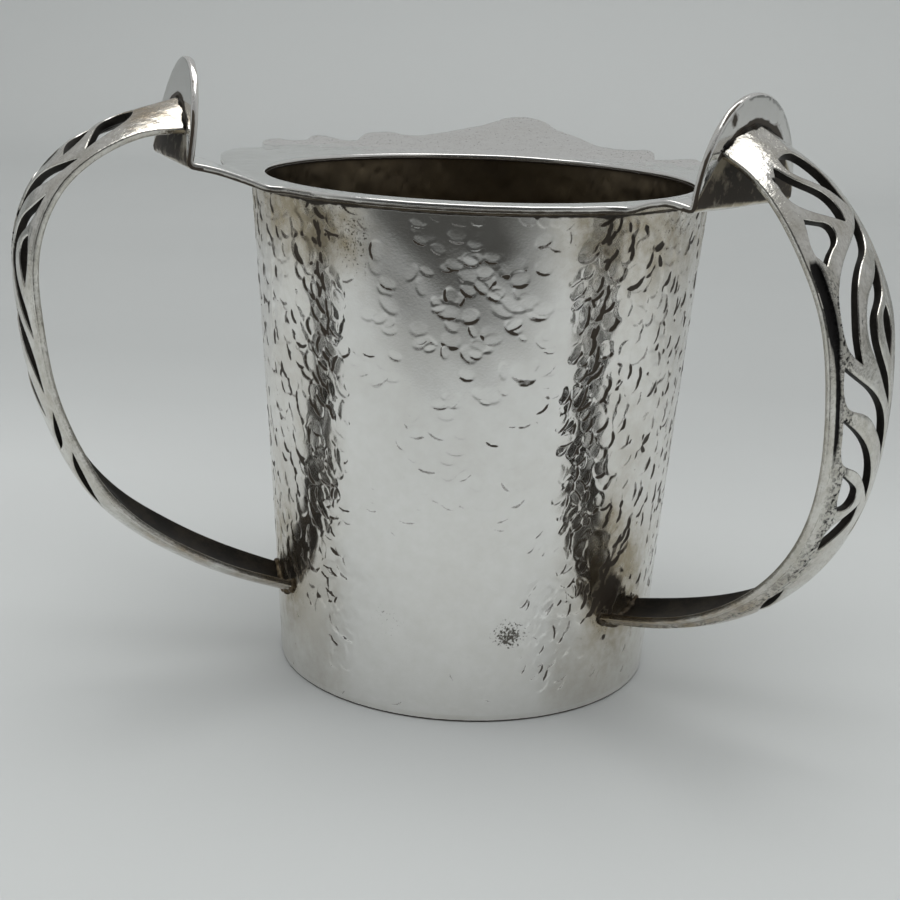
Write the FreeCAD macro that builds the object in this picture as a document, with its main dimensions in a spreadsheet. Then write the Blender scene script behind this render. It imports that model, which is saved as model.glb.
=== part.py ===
import FreeCAD, Part
import math
import os
import Sketcher

# A two-handled hand-washing cup in hammered silver sheet.
# Origin: centre of the flat underside. +Z is up, the front of the cup faces -Y,
# the tall back lip points to +Y, and the handles stand to the left (-X) and right (+X).

Vector = FreeCAD.Vector
UP = Vector(0, 0, 1)
FULL_TURN = 360
HALF = 0.5
BAND_SECTIONS = 20

doc = FreeCAD.newDocument("washing_cup")

# Driving sizes in millimetres; names that end in angle, lean or slope are degrees.
SIZES = [
    ("cup_height", 100.0, "table to the underside of the rim plate"),
    ("foot_radius", 39.0, "outside of the wall at the foot"),
    ("top_radius", 45.7, "outside of the wall under the rim plate"),
    ("wall_thickness", 1.2, "sheet of the wall"),
    ("floor_thickness", 1.5, "sheet of the floor disc under the wall"),
    ("plate_thickness", 1.3, "sheet of the rim plate, its ears and lugs"),
    ("rim_inset", 2.8, "outside of the wall in to the mouth hole of the rim plate"),
    ("rim_flange", 2.2, "outside of the wall out to the front edge of the rim plate"),
    ("lip_length", 30.0, "wall to the peak of the back lip, seen from above"),
    ("lip_spread", 14.1, "wall to the side of the back lip, seen from above"),
    ("lip_bend_inset", 4.7, "wall in to the line where the back lip starts to rise"),
    ("lip_bend_radius", 40.0, "underside radius of the bend in the back lip"),
    ("lip_slope", 12.0, "rise of the back lip past its bend"),
    ("ear_angle", 58.5, "front of the cup to the middle of each ear and handle"),
    ("left_ear_width", 30.0, "width of the left ear and lug"),
    ("right_ear_width", 32.0, "width of the right ear and lug"),
    ("ear_flat", 1.5, "wall to the line where each ear starts to rise"),
    ("left_ear_length", 17.3, "wall to the fold of the left lug"),
    ("right_ear_length", 15.4, "wall to the fold of the right lug"),
    ("left_ear_rise", 4.3, "climb of the left ear up to its fold"),
    ("right_ear_rise", 1.7, "climb of the right ear up to its fold"),
    ("left_lug_lean", -9.5, "lean of the left lug, outward is positive"),
    ("right_lug_lean", 3.5, "lean of the right lug, outward is positive"),
    ("left_lug_height", 19.1, "fold to the top of the round-topped left lug"),
    ("right_lug_height", 19.9, "fold to the top of the round-topped right lug"),
    ("fold_radius", 1.5, "outside radius of the fold"),
    ("fold_inner_radius", 0.3, "inside radius of the fold"),
    ("handle_thickness", 1.3, "metal of the handle bands"),
    ("handle_bow", 39.4, "bulge of the handle outside the straight line from head to foot"),
    ("handle_head_rise", 15.4, "underside of the rim plate to the crown of the band at its lug"),
    ("handle_foot_height", 17.2, "crown of the handle band at the wall"),
    ("handle_width", 24.7, "widest part of the handle bands"),
    ("handle_crown", 3.7, "arch of the band at its lug"),
    ("solder_leg", 0.9, "leg of the solder seams"),
    ("solder_build", 0.6, "thickness of the solder collars on the handles"),
    ("cut_overrun", 3.0, "overrun of cuts past the metal"),
]

sheet = doc.addObject("Spreadsheet::Sheet", "sizes")
for row, (alias, value, meaning) in enumerate(SIZES, start=1):
    sheet.set("A%d" % row, alias)
    sheet.set("B%d" % row, str(value))
    sheet.set("C%d" % row, meaning)
    sheet.setAlias("B%d" % row, alias)
doc.recompute()


def size(alias):
    """Value of one driving size."""
    return float(getattr(sheet, alias))


WALL_SLOPE_TEXT = ("(sizes.top_radius - sizes.foot_radius)"
                   " / (sizes.cup_height - sizes.floor_thickness)")


def wall_slope():
    """Growth of the wall's radius for each step up."""
    return (size("top_radius") - size("foot_radius")) / (size("cup_height") - size("floor_thickness"))


def from_wall(alias):
    """Distance from the axis of a place that is measured outward from the top of the wall."""
    return size("top_radius") + size(alias)


# Crown line of each handle in its own upright plane, from the lug to the wall, as shares:
# how far it bulges outside the straight line from head to foot, and how high it is between
# foot and head.
LEFT_CROWN_SHARES = [
    (-0.001, 1.000), (0.362, 0.958), (0.698, 0.869), (0.908, 0.733), (0.977, 0.594),
    (0.998, 0.470), (0.963, 0.360), (0.886, 0.260), (0.742, 0.177), (0.545, 0.111),
    (0.316, 0.054), (0.034, 0.004)]
RIGHT_CROWN_SHARES = [
    (-0.024, 1.000), (0.311, 0.928), (0.583, 0.824), (0.789, 0.710), (0.914, 0.590),
    (0.994, 0.470), (1.021, 0.352), (0.963, 0.240), (0.819, 0.148), (0.603, 0.078),
    (0.338, 0.031), (0.035, -0.002)]

# Width of the band, rise of its arch and drift towards the back along the crown line:
# (share of the length, share of the widest width, share of the arch at the lug, share of
# the half width).
BAND_SHARES = [
    (0.00, 0.81, 1.00, 0.00), (0.05, 0.89, 0.78, 0.00), (0.10, 0.95, 0.63, 0.00),
    (0.20, 1.00, 0.48, 0.00), (0.30, 0.985, 0.485, 0.00), (0.40, 0.935, 0.57, 0.00),
    (0.50, 0.87, 0.67, 0.00), (0.60, 0.813, 0.735, 0.00), (0.70, 0.79, 0.755, 0.01),
    (0.80, 0.787, 0.745, 0.03), (0.90, 0.70, 0.715, 0.08), (1.00, 0.56, 0.68, 0.14)]

# Openings pierced in the bands. Each leaf is a pair of flanks between the same two tips.
# Every place is a share of the crown line's length and a share of the half width. The two
# handles are castings of one pattern, so the plain rib is at -1 on the right handle and
# at the other edge on the left handle.
LEAF_SHARES = [
    ([(0.070, -0.34), (0.063, 0.00), (0.072, 0.34), (0.092, 0.54), (0.118, 0.64), (0.148, 0.70)],
     [(0.070, -0.34), (0.088, -0.36), (0.104, -0.20), (0.121, 0.18), (0.134, 0.46), (0.148, 0.70)]),
    ([(0.080, -0.58), (0.104, -0.38), (0.122, -0.08), (0.141, 0.22), (0.158, 0.31), (0.174, 0.30)],
     [(0.080, -0.58), (0.104, -0.73), (0.132, -0.72), (0.150, -0.50), (0.163, -0.14), (0.174, 0.30)]),
    ([(0.160, -0.68), (0.168, -0.42), (0.180, -0.16), (0.190, -0.16), (0.206, -0.38), (0.225, -0.64)],
     [(0.160, -0.68), (0.182, -0.75), (0.205, -0.78), (0.225, -0.64)]),
    ([(0.162, 0.80), (0.186, 0.74), (0.208, 0.60), (0.227, 0.28), (0.252, -0.06), (0.287, -0.27),
      (0.322, -0.34), (0.354, -0.28)],
     [(0.162, 0.80), (0.184, 0.48), (0.202, 0.14), (0.232, -0.35), (0.264, -0.61), (0.299, -0.70),
      (0.334, -0.58), (0.354, -0.28)]),
    ([(0.227, 0.76), (0.252, 0.72), (0.271, 0.62), (0.286, 0.42), (0.302, 0.23), (0.335, 0.24),
      (0.360, 0.42), (0.386, 0.64), (0.424, 0.78)],
     [(0.227, 0.76), (0.254, 0.42), (0.276, 0.06), (0.301, -0.09), (0.326, -0.09), (0.357, 0.12),
      (0.392, 0.40), (0.424, 0.78)]),
    ([(0.287, 0.68), (0.304, 0.76), (0.328, 0.78), (0.356, 0.68)],
     [(0.287, 0.68), (0.303, 0.44), (0.326, 0.46), (0.356, 0.68)]),
    ([(0.351, -0.72), (0.371, -0.38), (0.390, 0.00), (0.409, 0.30), (0.436, 0.58), (0.470, 0.72),
      (0.502, 0.72)],
     [(0.351, -0.72), (0.376, -0.75), (0.400, -0.68), (0.418, -0.20), (0.446, 0.22), (0.474, 0.54),
      (0.502, 0.72)]),
    ([(0.417, -0.74), (0.438, -0.38), (0.461, -0.06), (0.486, 0.18), (0.514, 0.34), (0.542, 0.40)],
     [(0.417, -0.74), (0.446, -0.74), (0.474, -0.68), (0.490, -0.30), (0.514, 0.06), (0.542, 0.40)]),
    ([(0.526, 0.80), (0.554, 0.76), (0.580, 0.60), (0.594, 0.26)],
     [(0.526, 0.80), (0.546, 0.62), (0.568, 0.42), (0.594, 0.26)]),
    ([(0.492, -0.60), (0.506, -0.34), (0.524, -0.12), (0.539, -0.20), (0.543, -0.54)],
     [(0.492, -0.60), (0.508, -0.60), (0.524, -0.60), (0.543, -0.54)]),
    ([(0.541, 0.10), (0.562, 0.05), (0.580, -0.18), (0.606, -0.56)],
     [(0.541, 0.10), (0.552, -0.20), (0.574, -0.58), (0.606, -0.56)]),
    ([(0.592, 0.82), (0.626, 0.78), (0.668, 0.60), (0.722, 0.04)],
     [(0.592, 0.82), (0.616, 0.56), (0.654, 0.34), (0.722, 0.04)]),
    ([(0.686, -0.52), (0.714, -0.30), (0.744, -0.06), (0.780, 0.22)],
     [(0.686, -0.52), (0.716, -0.58), (0.748, -0.30), (0.780, 0.22)]),
    ([(0.796, 0.22), (0.812, 0.30), (0.832, 0.24), (0.848, 0.06)],
     [(0.796, 0.22), (0.810, 0.08), (0.830, 0.00), (0.848, 0.06)]),
]

# Plan outline of the back lip from the left ear to the right ear, as shares of the lip's
# half width and of its reach. Each run is one smooth scallop, and a short step joins runs.
LIP_RUN_SHARES = [
    [(-0.880, -0.020), (-0.972, 0.165), (-1.000, 0.330), (-0.973, 0.423), (-0.928, 0.458)],
    [(-0.963, 0.561), (-0.972, 0.625), (-0.938, 0.642), (-0.871, 0.631), (-0.821, 0.647)],
    [(-0.813, 0.688), (-0.783, 0.707), (-0.732, 0.695), (-0.664, 0.672), (-0.624, 0.675)],
    [(-0.620, 0.715), (-0.610, 0.750), (-0.562, 0.768), (-0.503, 0.765), (-0.446, 0.745),
     (-0.395, 0.744), (-0.350, 0.765), (-0.306, 0.798), (-0.219, 0.873), (-0.130, 0.952),
     (-0.085, 0.993), (-0.033, 1.000), (0.020, 0.985), (0.079, 0.948), (0.147, 0.873),
     (0.204, 0.841), (0.261, 0.794), (0.316, 0.748), (0.378, 0.724), (0.441, 0.713),
     (0.517, 0.711), (0.537, 0.690)],
    [(0.547, 0.631), (0.619, 0.638), (0.689, 0.651), (0.722, 0.630)],
    [(0.745, 0.605), (0.811, 0.600), (0.880, 0.610), (0.915, 0.580)],
    [(0.905, 0.480), (0.950, 0.425), (0.980, 0.330), (0.962, 0.165), (0.880, -0.020)],
]


class Side:
    """Directions and sizes of one handle side: -1 is the left side and 1 the right."""

    def __init__(self, sign, name, crown_shares):
        self.name = name
        self.sign = sign
        angle = math.radians(size("ear_angle"))
        self.out = Vector(sign * math.sin(angle), -math.cos(angle), 0)
        self.back = Vector(sign * math.cos(angle), math.sin(angle), 0)
        self.reach = from_wall(name + "_ear_length")
        self.rise = size(name + "_ear_rise")
        self.width = size(name + "_ear_width")
        self.lug_height = size(name + "_lug_height")
        self.lean = math.radians(size(name + "_lug_lean"))
        self.crown_shares = crown_shares

    def at(self, radial, across, level):
        """Point at a distance from the axis, a distance towards the back and a height."""
        return self.out * radial + self.back * across + UP * level

    def lug_face(self, level):
        """Distance from the axis to the outer face of the lug at a height."""
        fold_level = size("cup_height") + self.rise
        return self.reach + (level - fold_level) * math.tan(self.lean)


LEFT = Side(-1, "left", LEFT_CROWN_SHARES)
RIGHT = Side(1, "right", RIGHT_CROWN_SHARES)


def polygon(points):
    """Closed wire through the points."""
    return Part.makePolygon(list(points) + [points[0]])


def prism(wire, travel):
    """Solid swept from a flat closed wire along a vector."""
    return Part.Face(wire).extrude(travel)


def spline_edge(points):
    """Smooth edge through the points."""
    curve = Part.BSplineCurve()
    curve.interpolate(points)
    return curve.toShape()


def plane_of(body, role):
    """Origin plane of a body by its role."""
    return [item for item in body.Origin.OriginFeatures if item.Role == role][0]


def turned_body(name, corners, bindings):
    """Body turned about Z from a closed section of straight lines.

    corners are (radius, height) pairs, and bindings give, for each corner, the two
    expressions that drive its radius and its height.
    """
    body = doc.addObject("PartDesign::Body", name)
    body.Label = name
    sketch = body.newObject("Sketcher::SketchObject", name + "_section")
    sketch.AttachmentSupport = [(plane_of(body, "XZ_Plane"), "")]
    sketch.MapMode = "FlatFace"
    count = len(corners)
    for index in range(count):
        start, end = corners[index], corners[(index + 1) % count]
        sketch.addGeometry(Part.LineSegment(Vector(*start, 0), Vector(*end, 0)))
    for index in range(count):
        sketch.addConstraint(Sketcher.Constraint("Coincident", index, 2, (index + 1) % count, 1))
    for index, (radius, level) in enumerate(corners):
        for kind, value, text in (("DistanceX", radius, bindings[index][0]),
                                  ("DistanceY", level, bindings[index][1])):
            if text is None:
                place = sketch.addConstraint(Sketcher.Constraint("PointOnObject", index, 1, -1))
                continue
            place = sketch.addConstraint(Sketcher.Constraint(kind, -1, 1, index, 1, value))
            sketch.setExpression("Constraints[%d]" % place, text)
    turn = body.newObject("PartDesign::Revolution", name + "_turn")
    turn.Profile = sketch
    turn.ReferenceAxis = (sketch, ["V_Axis"])
    turn.Angle = FULL_TURN
    body.Tip = turn
    return body


def make_floor():
    """Flat disc that the wall stands on."""
    body = doc.addObject("PartDesign::Body", "cup_floor")
    body.Label = "cup_floor"
    sketch = body.newObject("Sketcher::SketchObject", "cup_floor_disc")
    sketch.AttachmentSupport = [(plane_of(body, "XY_Plane"), "")]
    sketch.MapMode = "FlatFace"
    sketch.addGeometry(Part.Circle(Vector(0, 0, 0), UP, size("foot_radius")))
    sketch.addConstraint(Sketcher.Constraint("Coincident", 0, 3, -1, 1))
    place = sketch.addConstraint(Sketcher.Constraint("Radius", 0, size("foot_radius")))
    sketch.setExpression("Constraints[%d]" % place, "sizes.foot_radius")
    pad = body.newObject("PartDesign::Pad", "cup_floor_pad")
    pad.Profile = sketch
    pad.setExpression("Length", "sizes.floor_thickness")
    body.Tip = pad
    return body


def make_wall():
    """Tapered wall between the floor disc and the rim plate."""
    foot, top, wall = size("foot_radius"), size("top_radius"), size("wall_thickness")
    low, high = size("floor_thickness"), size("cup_height")
    corners = [(foot, low), (top, high), (top - wall, high), (foot - wall, low)]
    low_text, high_text = "sizes.floor_thickness", "sizes.cup_height"
    bindings = [
        ("sizes.foot_radius", low_text),
        ("sizes.top_radius", high_text),
        ("sizes.top_radius - sizes.wall_thickness", high_text),
        ("sizes.foot_radius - sizes.wall_thickness", low_text)]
    return turned_body("cup_wall", corners, bindings)


def make_rim_solder():
    """Seam in the corner between the wall and the underside of the rim plate."""
    leg, top, high = size("solder_leg"), size("top_radius"), size("cup_height")
    corners = [(top - leg * wall_slope(), high - leg), (top + leg, high), (top, high)]
    bindings = [
        ("sizes.top_radius - sizes.solder_leg * " + WALL_SLOPE_TEXT,
         "sizes.cup_height - sizes.solder_leg"),
        ("sizes.top_radius + sizes.solder_leg", "sizes.cup_height"),
        ("sizes.top_radius", "sizes.cup_height")]
    return turned_body("rim_solder", corners, bindings)


def make_floor_solder():
    """Seam in the inner corner between the floor disc and the wall."""
    leg, low = size("solder_leg"), size("floor_thickness")
    inner = size("foot_radius") - size("wall_thickness")
    corners = [(inner - leg, low), (inner, low), (inner + leg * wall_slope(), low + leg)]
    inner_text = "sizes.foot_radius - sizes.wall_thickness"
    bindings = [
        (inner_text + " - sizes.solder_leg", "sizes.floor_thickness"),
        (inner_text, "sizes.floor_thickness"),
        (inner_text + " + sizes.solder_leg * " + WALL_SLOPE_TEXT,
         "sizes.floor_thickness + sizes.solder_leg")]
    return turned_body("floor_solder", corners, bindings)


def lip_plan():
    """Plan outline of the flat plate with its back lip, closed by the front flange."""
    half_width, reach = from_wall("lip_spread"), from_wall("lip_length")
    flange = from_wall("rim_flange")
    level = size("cup_height") - size("cut_overrun")
    edges = []
    last = None
    for run in LIP_RUN_SHARES:
        points = [Vector(x * half_width, y * reach, level) for x, y in run]
        if last is not None:
            edges.append(Part.LineSegment(last, points[0]).toShape())
        edges.append(spline_edge(points))
        last = points[-1]
    first = edges[0].Vertexes[0].Point
    right_join = Vector(flange, 0, level)
    left_join = Vector(-flange, 0, level)
    edges.append(Part.LineSegment(last, right_join).toShape())
    edges.append(Part.Arc(right_join, Vector(0, -flange, level), left_join).toShape())
    edges.append(Part.LineSegment(left_join, first).toShape())
    return Part.Wire(edges)


def lip_profile():
    """Side view of the plate: flat, then bent up towards the back, one sheet thick."""
    low, sheet_t = size("cup_height"), size("plate_thickness")
    start = size("top_radius") - size("lip_bend_inset")
    bend, slope = size("lip_bend_radius"), math.radians(size("lip_slope"))
    front = -from_wall("rim_flange") - size("cut_overrun")
    end = from_wall("lip_length") + size("cut_overrun")
    hub = Vector(0, start, low + bend)

    def on_bend(radius, angle):
        return hub + Vector(0, radius * math.sin(angle), -radius * math.cos(angle))

    def run_out(point):
        return point + Vector(0, math.cos(slope), math.sin(slope)) * (end - start)

    inner = bend - sheet_t
    under, over = on_bend(bend, slope), on_bend(inner, slope)
    edges = [
        Part.LineSegment(Vector(0, front, low), on_bend(bend, 0)).toShape(),
        Part.Arc(on_bend(bend, 0), on_bend(bend, slope * HALF), under).toShape(),
        Part.LineSegment(under, run_out(under)).toShape(),
        Part.LineSegment(run_out(under), run_out(over)).toShape(),
        Part.LineSegment(run_out(over), over).toShape(),
        Part.Arc(over, on_bend(inner, slope * HALF), on_bend(inner, 0)).toShape(),
        Part.LineSegment(on_bend(inner, 0), Vector(0, front, low + sheet_t)).toShape(),
        Part.LineSegment(Vector(0, front, low + sheet_t), Vector(0, front, low)).toShape(),
    ]
    return Part.Wire(edges)


def ear_and_lug(side):
    """Ear that leaves the plate, climbs and folds up into a round-topped lug."""
    low, sheet_t = size("cup_height"), size("plate_thickness")
    half_width = side.width * HALF
    flat, reach = from_wall("ear_flat"), side.reach
    fold_level = low + side.rise
    climb = math.atan2(side.rise, reach - flat)
    tall = side.lug_height + size("cut_overrun")
    start = size("top_radius") - size("rim_inset")
    lean = side.lean
    top = side.lug_face(fold_level + tall)
    # Mitres of the sheet's upper face at the start of the climb and at the fold.
    flat_shift = sheet_t * math.tan(climb * HALF)
    fold_turn = (math.pi * HALF - lean - climb) * HALF
    fold_back = sheet_t * math.tan(fold_turn)
    inner_fold = Vector(reach - fold_back * math.cos(climb) - sheet_t * math.sin(climb),
                        fold_level - fold_back * math.sin(climb) + sheet_t * math.cos(climb), 0)
    face_in = sheet_t / math.cos(lean)
    outline = [
        (start, low), (flat, low), (reach, fold_level), (top, fold_level + tall),
        (top - face_in, fold_level + tall), (inner_fold.x, inner_fold.y),
        (flat - flat_shift, low + sheet_t), (start, low + sheet_t)]
    wire = polygon([side.at(r, -half_width, z) for r, z in outline])
    strip = prism(wire, side.back * side.width)
    folds = {size("fold_radius"): (reach, fold_level),
             size("fold_inner_radius"): (inner_fold.x, inner_fold.y)}
    for radius, (fold_r, fold_z) in folds.items():
        corner = side.at(fold_r, 0, fold_z)
        edge = min(strip.Edges, key=lambda item: (item.CenterOfMass - corner).Length)
        strip = strip.makeFillet(radius, [edge])
    # The arch is a straight-sided slot shape that ends in half an ellipse.
    base = low - size("cut_overrun")
    out_start = side.out * start
    ellipse = Part.Ellipse(Vector(0, side.lug_height, 0), Vector(half_width, 0, 0), Vector(0, 0, 0))
    arch = Part.Edge(Part.Arc(ellipse, -math.pi * HALF, math.pi * HALF))
    arch.Placement = FreeCAD.Placement(
        out_start + UP * fold_level, FreeCAD.Rotation(side.back, UP, side.back.cross(UP), "XYZ"))
    ends = [vertex.Point for vertex in arch.Vertexes]
    ends.sort(key=lambda point: point.dot(side.back))
    drop = UP * (fold_level - base)
    arch_wire = Part.Wire(Part.__sortEdges__([
        arch,
        Part.LineSegment(ends[1], ends[1] - drop).toShape(),
        Part.LineSegment(ends[1] - drop, ends[0] - drop).toShape(),
        Part.LineSegment(ends[0] - drop, ends[0]).toShape()]))
    return strip.common(prism(arch_wire, side.out * reach))


def make_rim_plate():
    """One sheet: front flange, mouth hole, bent back lip and two folded ears."""
    width = from_wall("lip_spread") + size("cut_overrun")
    tall = from_wall("lip_length")
    outline = prism(lip_plan(), UP * tall)
    slab = prism(lip_profile(), Vector(2 * width, 0, 0))
    slab.translate(Vector(-width, 0, 0))
    plate = outline.common(slab)
    for side in (LEFT, RIGHT):
        plate = plate.fuse(ear_and_lug(side))
    mouth = size("top_radius") - size("rim_inset")
    hole = Part.makeCylinder(mouth, size("cup_height"), Vector(0, 0, size("cup_height") * HALF))
    return plate.cut(hole).removeSplitter()


def band_shares(share):
    """Width, arch and drift shares at a share of the length."""
    share = min(max(share, 0), 1)
    for low, high in zip(BAND_SHARES, BAND_SHARES[1:]):
        if share <= high[0]:
            part = (share - low[0]) / (high[0] - low[0])
            return [first + (last - first) * part for first, last in zip(low[1:], high[1:])]
    return list(BAND_SHARES[-1][1:])


class Band:
    """Arched band of one handle, laid out along its crown line."""

    def __init__(self, side):
        self.side = side
        foot_level = size("handle_foot_height")
        head_level = size("cup_height") + size("handle_head_rise")
        foot = size("foot_radius") + wall_slope() * (foot_level - size("floor_thickness"))
        head, bow = side.lug_face(head_level), size("handle_bow")
        points = [Vector(foot + (head - foot) * up + bow * bulge,
                         foot_level + (head_level - foot_level) * up, 0)
                  for bulge, up in side.crown_shares]
        curve = Part.BSplineCurve()
        curve.interpolate(points)
        self.curve = curve
        self.length = curve.length()

    def frame(self, share):
        """Crown point, direction along the band and outward direction, in radius and height."""
        length = self.length * min(max(share, 0), 1)
        parameter = self.curve.parameterAtDistance(length, self.curve.FirstParameter)
        point = self.curve.value(parameter)
        along = self.curve.tangent(parameter)[0]
        outward = Vector(-along.y, along.x, 0)
        return point + along * (self.length * share - length), along, outward

    def spans(self, share):
        """Half width, arch and drift of the band at a share of the length."""
        width_share, arch_share, drift_share = band_shares(share)
        half = size("handle_width") * width_share * HALF
        return half, size("handle_crown") * arch_share, half * drift_share

    def lift(self, flat, across):
        """Place a radius and height point of this side in the room."""
        return self.side.at(flat.x, across, flat.y)

    def section(self, share, grow):
        """Closed arched section at a share of the length, grown all round."""
        half, arch, drift = self.spans(share)
        crown, _, outward = self.frame(share)
        outer = crown + outward * grow
        inner = crown - outward * (size("handle_thickness") + grow)
        edge_outer, edge_inner = outer - outward * arch, inner - outward * arch
        front, back = drift - half - grow, drift + half + grow
        return Part.Wire([
            Part.Arc(self.lift(edge_outer, front), self.lift(outer, drift),
                     self.lift(edge_outer, back)).toShape(),
            Part.LineSegment(self.lift(edge_outer, back), self.lift(edge_inner, back)).toShape(),
            Part.Arc(self.lift(edge_inner, back), self.lift(inner, drift),
                     self.lift(edge_inner, front)).toShape(),
            Part.LineSegment(self.lift(edge_inner, front), self.lift(edge_outer, front)).toShape()])

    def solid(self, grow=0.0):
        """Band that runs past both ends, so that the lug and the wall can trim it."""
        extra = size("cut_overrun") / self.length
        steps = [index / BAND_SECTIONS for index in range(BAND_SECTIONS + 1)]
        stations = [-extra] + steps + [1 + extra]
        return Part.makeLoft([self.section(share, grow) for share in stations], True, False)

    def surface_point(self, share, across_share):
        """Point on the outer face of the band."""
        half, arch, drift = self.spans(share)
        crown, _, outward = self.frame(share)
        return self.lift(crown - outward * arch * across_share ** 2, drift + half * across_share)

    def leaf_cutter(self, flanks):
        """Prism through the band with the outline of one pierced leaf."""
        first, last = flanks[0][0], flanks[0][-1]
        middle = (first[0] + last[0]) * HALF
        _, _, outward = self.frame(middle)
        normal = self.side.out * outward.x + UP * outward.y
        centre = self.surface_point(middle, 0)
        edges = []
        for flank in flanks:
            points = [self.surface_point(share, across * self.side.sign) for share, across in flank]
            flat = [point - normal * (point - centre).dot(normal) for point in points]
            edges.append(spline_edge(flat))
        depth = size("handle_crown") + size("handle_thickness") + size("cut_overrun")
        cutter = prism(Part.Wire(Part.__sortEdges__(edges)), normal * (2 * depth))
        cutter.translate(normal * -depth)
        return cutter


def behind_lug(side, extra):
    """Block that fills the side of the lug's outer face that looks at the cup."""
    low = size("cup_height") - size("cut_overrun")
    high = size("cup_height") + size("handle_head_rise") + side.lug_height
    half_width = side.width
    shift = extra / math.cos(side.lean)
    wire = polygon([side.at(r, -half_width, z) for r, z in [
        (0, low), (side.lug_face(low) + shift, low), (side.lug_face(high) + shift, high), (0, high)]])
    return prism(wire, side.back * (2 * half_width))


def inside_wall(extra):
    """Solid cone of the cup's outer face."""
    foot = size("foot_radius") + extra - wall_slope() * size("floor_thickness")
    return Part.makeCone(foot, size("top_radius") + extra, size("cup_height"))


def make_handle(side, band):
    """Pierced band, trimmed to its seats on the lug and on the wall."""
    solid = band.solid().cut(behind_lug(side, 0)).cut(inside_wall(0))
    cutters = [band.leaf_cutter(flanks) for flanks in LEAF_SHARES]
    return solid.cut(Part.makeCompound(cutters))


def make_collar(band, seat, zone):
    """Solder collar round one end of a band: from its seat to the end of its zone."""
    grown = band.solid(size("solder_build"))
    return grown.common(zone).cut(seat).cut(band.solid())


def add_feature(name, shape):
    """Document object for a piece whose shape is set directly."""
    feature = doc.addObject("Part::Feature", name)
    feature.Label = name
    feature.Shape = shape
    feature.Placement = FreeCAD.Placement()
    return feature


def one_solid(shape):
    """The largest solid of a shape."""
    return max(shape.Solids, key=lambda solid: solid.Volume)


pieces = [make_wall(), make_floor(), make_rim_solder(), make_floor_solder()]
pieces.append(add_feature("rim_plate", one_solid(make_rim_plate())))
leg = size("solder_leg")
for side in (LEFT, RIGHT):
    band = Band(side)
    pieces.append(add_feature(side.name + "_handle", one_solid(make_handle(side, band))))
    pieces.append(add_feature(side.name + "_head_solder", one_solid(
        make_collar(band, behind_lug(side, 0), behind_lug(side, leg)))))
    pieces.append(add_feature(side.name + "_foot_solder", one_solid(
        make_collar(band, inside_wall(0), inside_wall(leg)))))
doc.recompute()

os.makedirs("parts", exist_ok=True)
for item in doc.Objects:
    if "Invalid" in item.State or "Error" in item.State:
        raise RuntimeError("%s is in state %s" % (item.Name, item.State))
for piece in pieces:
    shape = piece.Shape
    if shape.isNull() or not shape.isValid():
        raise RuntimeError("%s has no valid shape" % piece.Label)
for piece in pieces:
    shape = piece.Shape
    shape.exportStep("parts/%s.step" % piece.Label)
    print("%s: %d solid, %.2f cm3" % (piece.Label, len(shape.Solids), shape.Volume / 1000))
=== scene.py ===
"""Looks of a hand-washing cup in hammered silver sheet with pierced cast handles.

The cup stands on its round foot. A tapered wall carries a rim plate whose back rises in a
scalloped lip, and whose two ears fold up into round-topped lugs. Each pierced band handle
runs from its lug down to the wall. All sizes here are in millimetres, and every mesh is
handed to the scene in metres.
"""

import logging
import math
from dataclasses import dataclass, field
from enum import Enum
from functools import partial, reduce
from typing import Callable, Sequence

import bpy
import numpy as np
from mathutils import Matrix, Vector, geometry


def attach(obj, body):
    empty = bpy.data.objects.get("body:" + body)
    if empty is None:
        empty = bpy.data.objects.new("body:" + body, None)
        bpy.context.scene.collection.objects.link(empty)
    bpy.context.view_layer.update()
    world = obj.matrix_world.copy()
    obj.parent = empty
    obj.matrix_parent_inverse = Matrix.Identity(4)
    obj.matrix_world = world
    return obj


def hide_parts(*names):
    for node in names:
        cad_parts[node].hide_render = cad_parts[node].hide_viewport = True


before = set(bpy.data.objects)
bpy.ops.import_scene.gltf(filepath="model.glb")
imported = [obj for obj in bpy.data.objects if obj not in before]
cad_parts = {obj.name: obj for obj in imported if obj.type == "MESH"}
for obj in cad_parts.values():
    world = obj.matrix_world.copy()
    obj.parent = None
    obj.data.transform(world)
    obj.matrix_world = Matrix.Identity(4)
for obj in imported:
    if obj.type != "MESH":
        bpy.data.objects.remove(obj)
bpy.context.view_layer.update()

log = logging.getLogger("washing_cup")
MM = 0.001
TURN = 2.0 * math.pi
SAME_PLACE = 1e-4
ROW_SHARE = 0.866  # Gap between staggered rows of a mesh, of its spacing.
EDGE_SHARE = 0.6  # Least gap between a mesh's edge and its inner places, of its spacing.
PHASES = 6.28  # Range of the random phases and directions.
MITRE_LIMIT = 1.5  # Longest corner of a loop that is moved in, of the amount.
ALL_SMOOTH = 180.0  # Degrees.
FRONT_TURN = 3.5  # Middle of the quiet front, in degrees to the right.
Points = np.ndarray
Colour = tuple[float, float, float, float]
Socket = bpy.types.NodeSocket


# Lines and shares

def smooth_step(value: Points, low: float, high: float) -> Points:
    """Soft ramp from 0 at low to 1 at high.

    Args:
        value: Places to weigh.
        low: Where the ramp starts.
        high: Where the ramp ends.

    Returns:
        The weight of each place.
    """
    part = np.clip((np.asarray(value, float) - low) / (high - low), 0.0, 1.0)
    return part * part * (3.0 - 2.0 * part)


def hump(value: Points, width: float) -> Points:
    """Bell-shaped weight that is 1 where the value is 0."""
    return np.exp(-(value / width) ** 2)


def outward(angle: Points) -> Points:
    """Level directions out from the axis, at angles from the front towards the right."""
    return np.stack([np.sin(angle), -np.cos(angle), np.zeros(len(angle))], axis=1)


def wrapped(turn: Points) -> Points:
    """Turns in degrees brought between -180 and 180."""
    return (turn + 180.0) % 360.0 - 180.0


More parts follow.
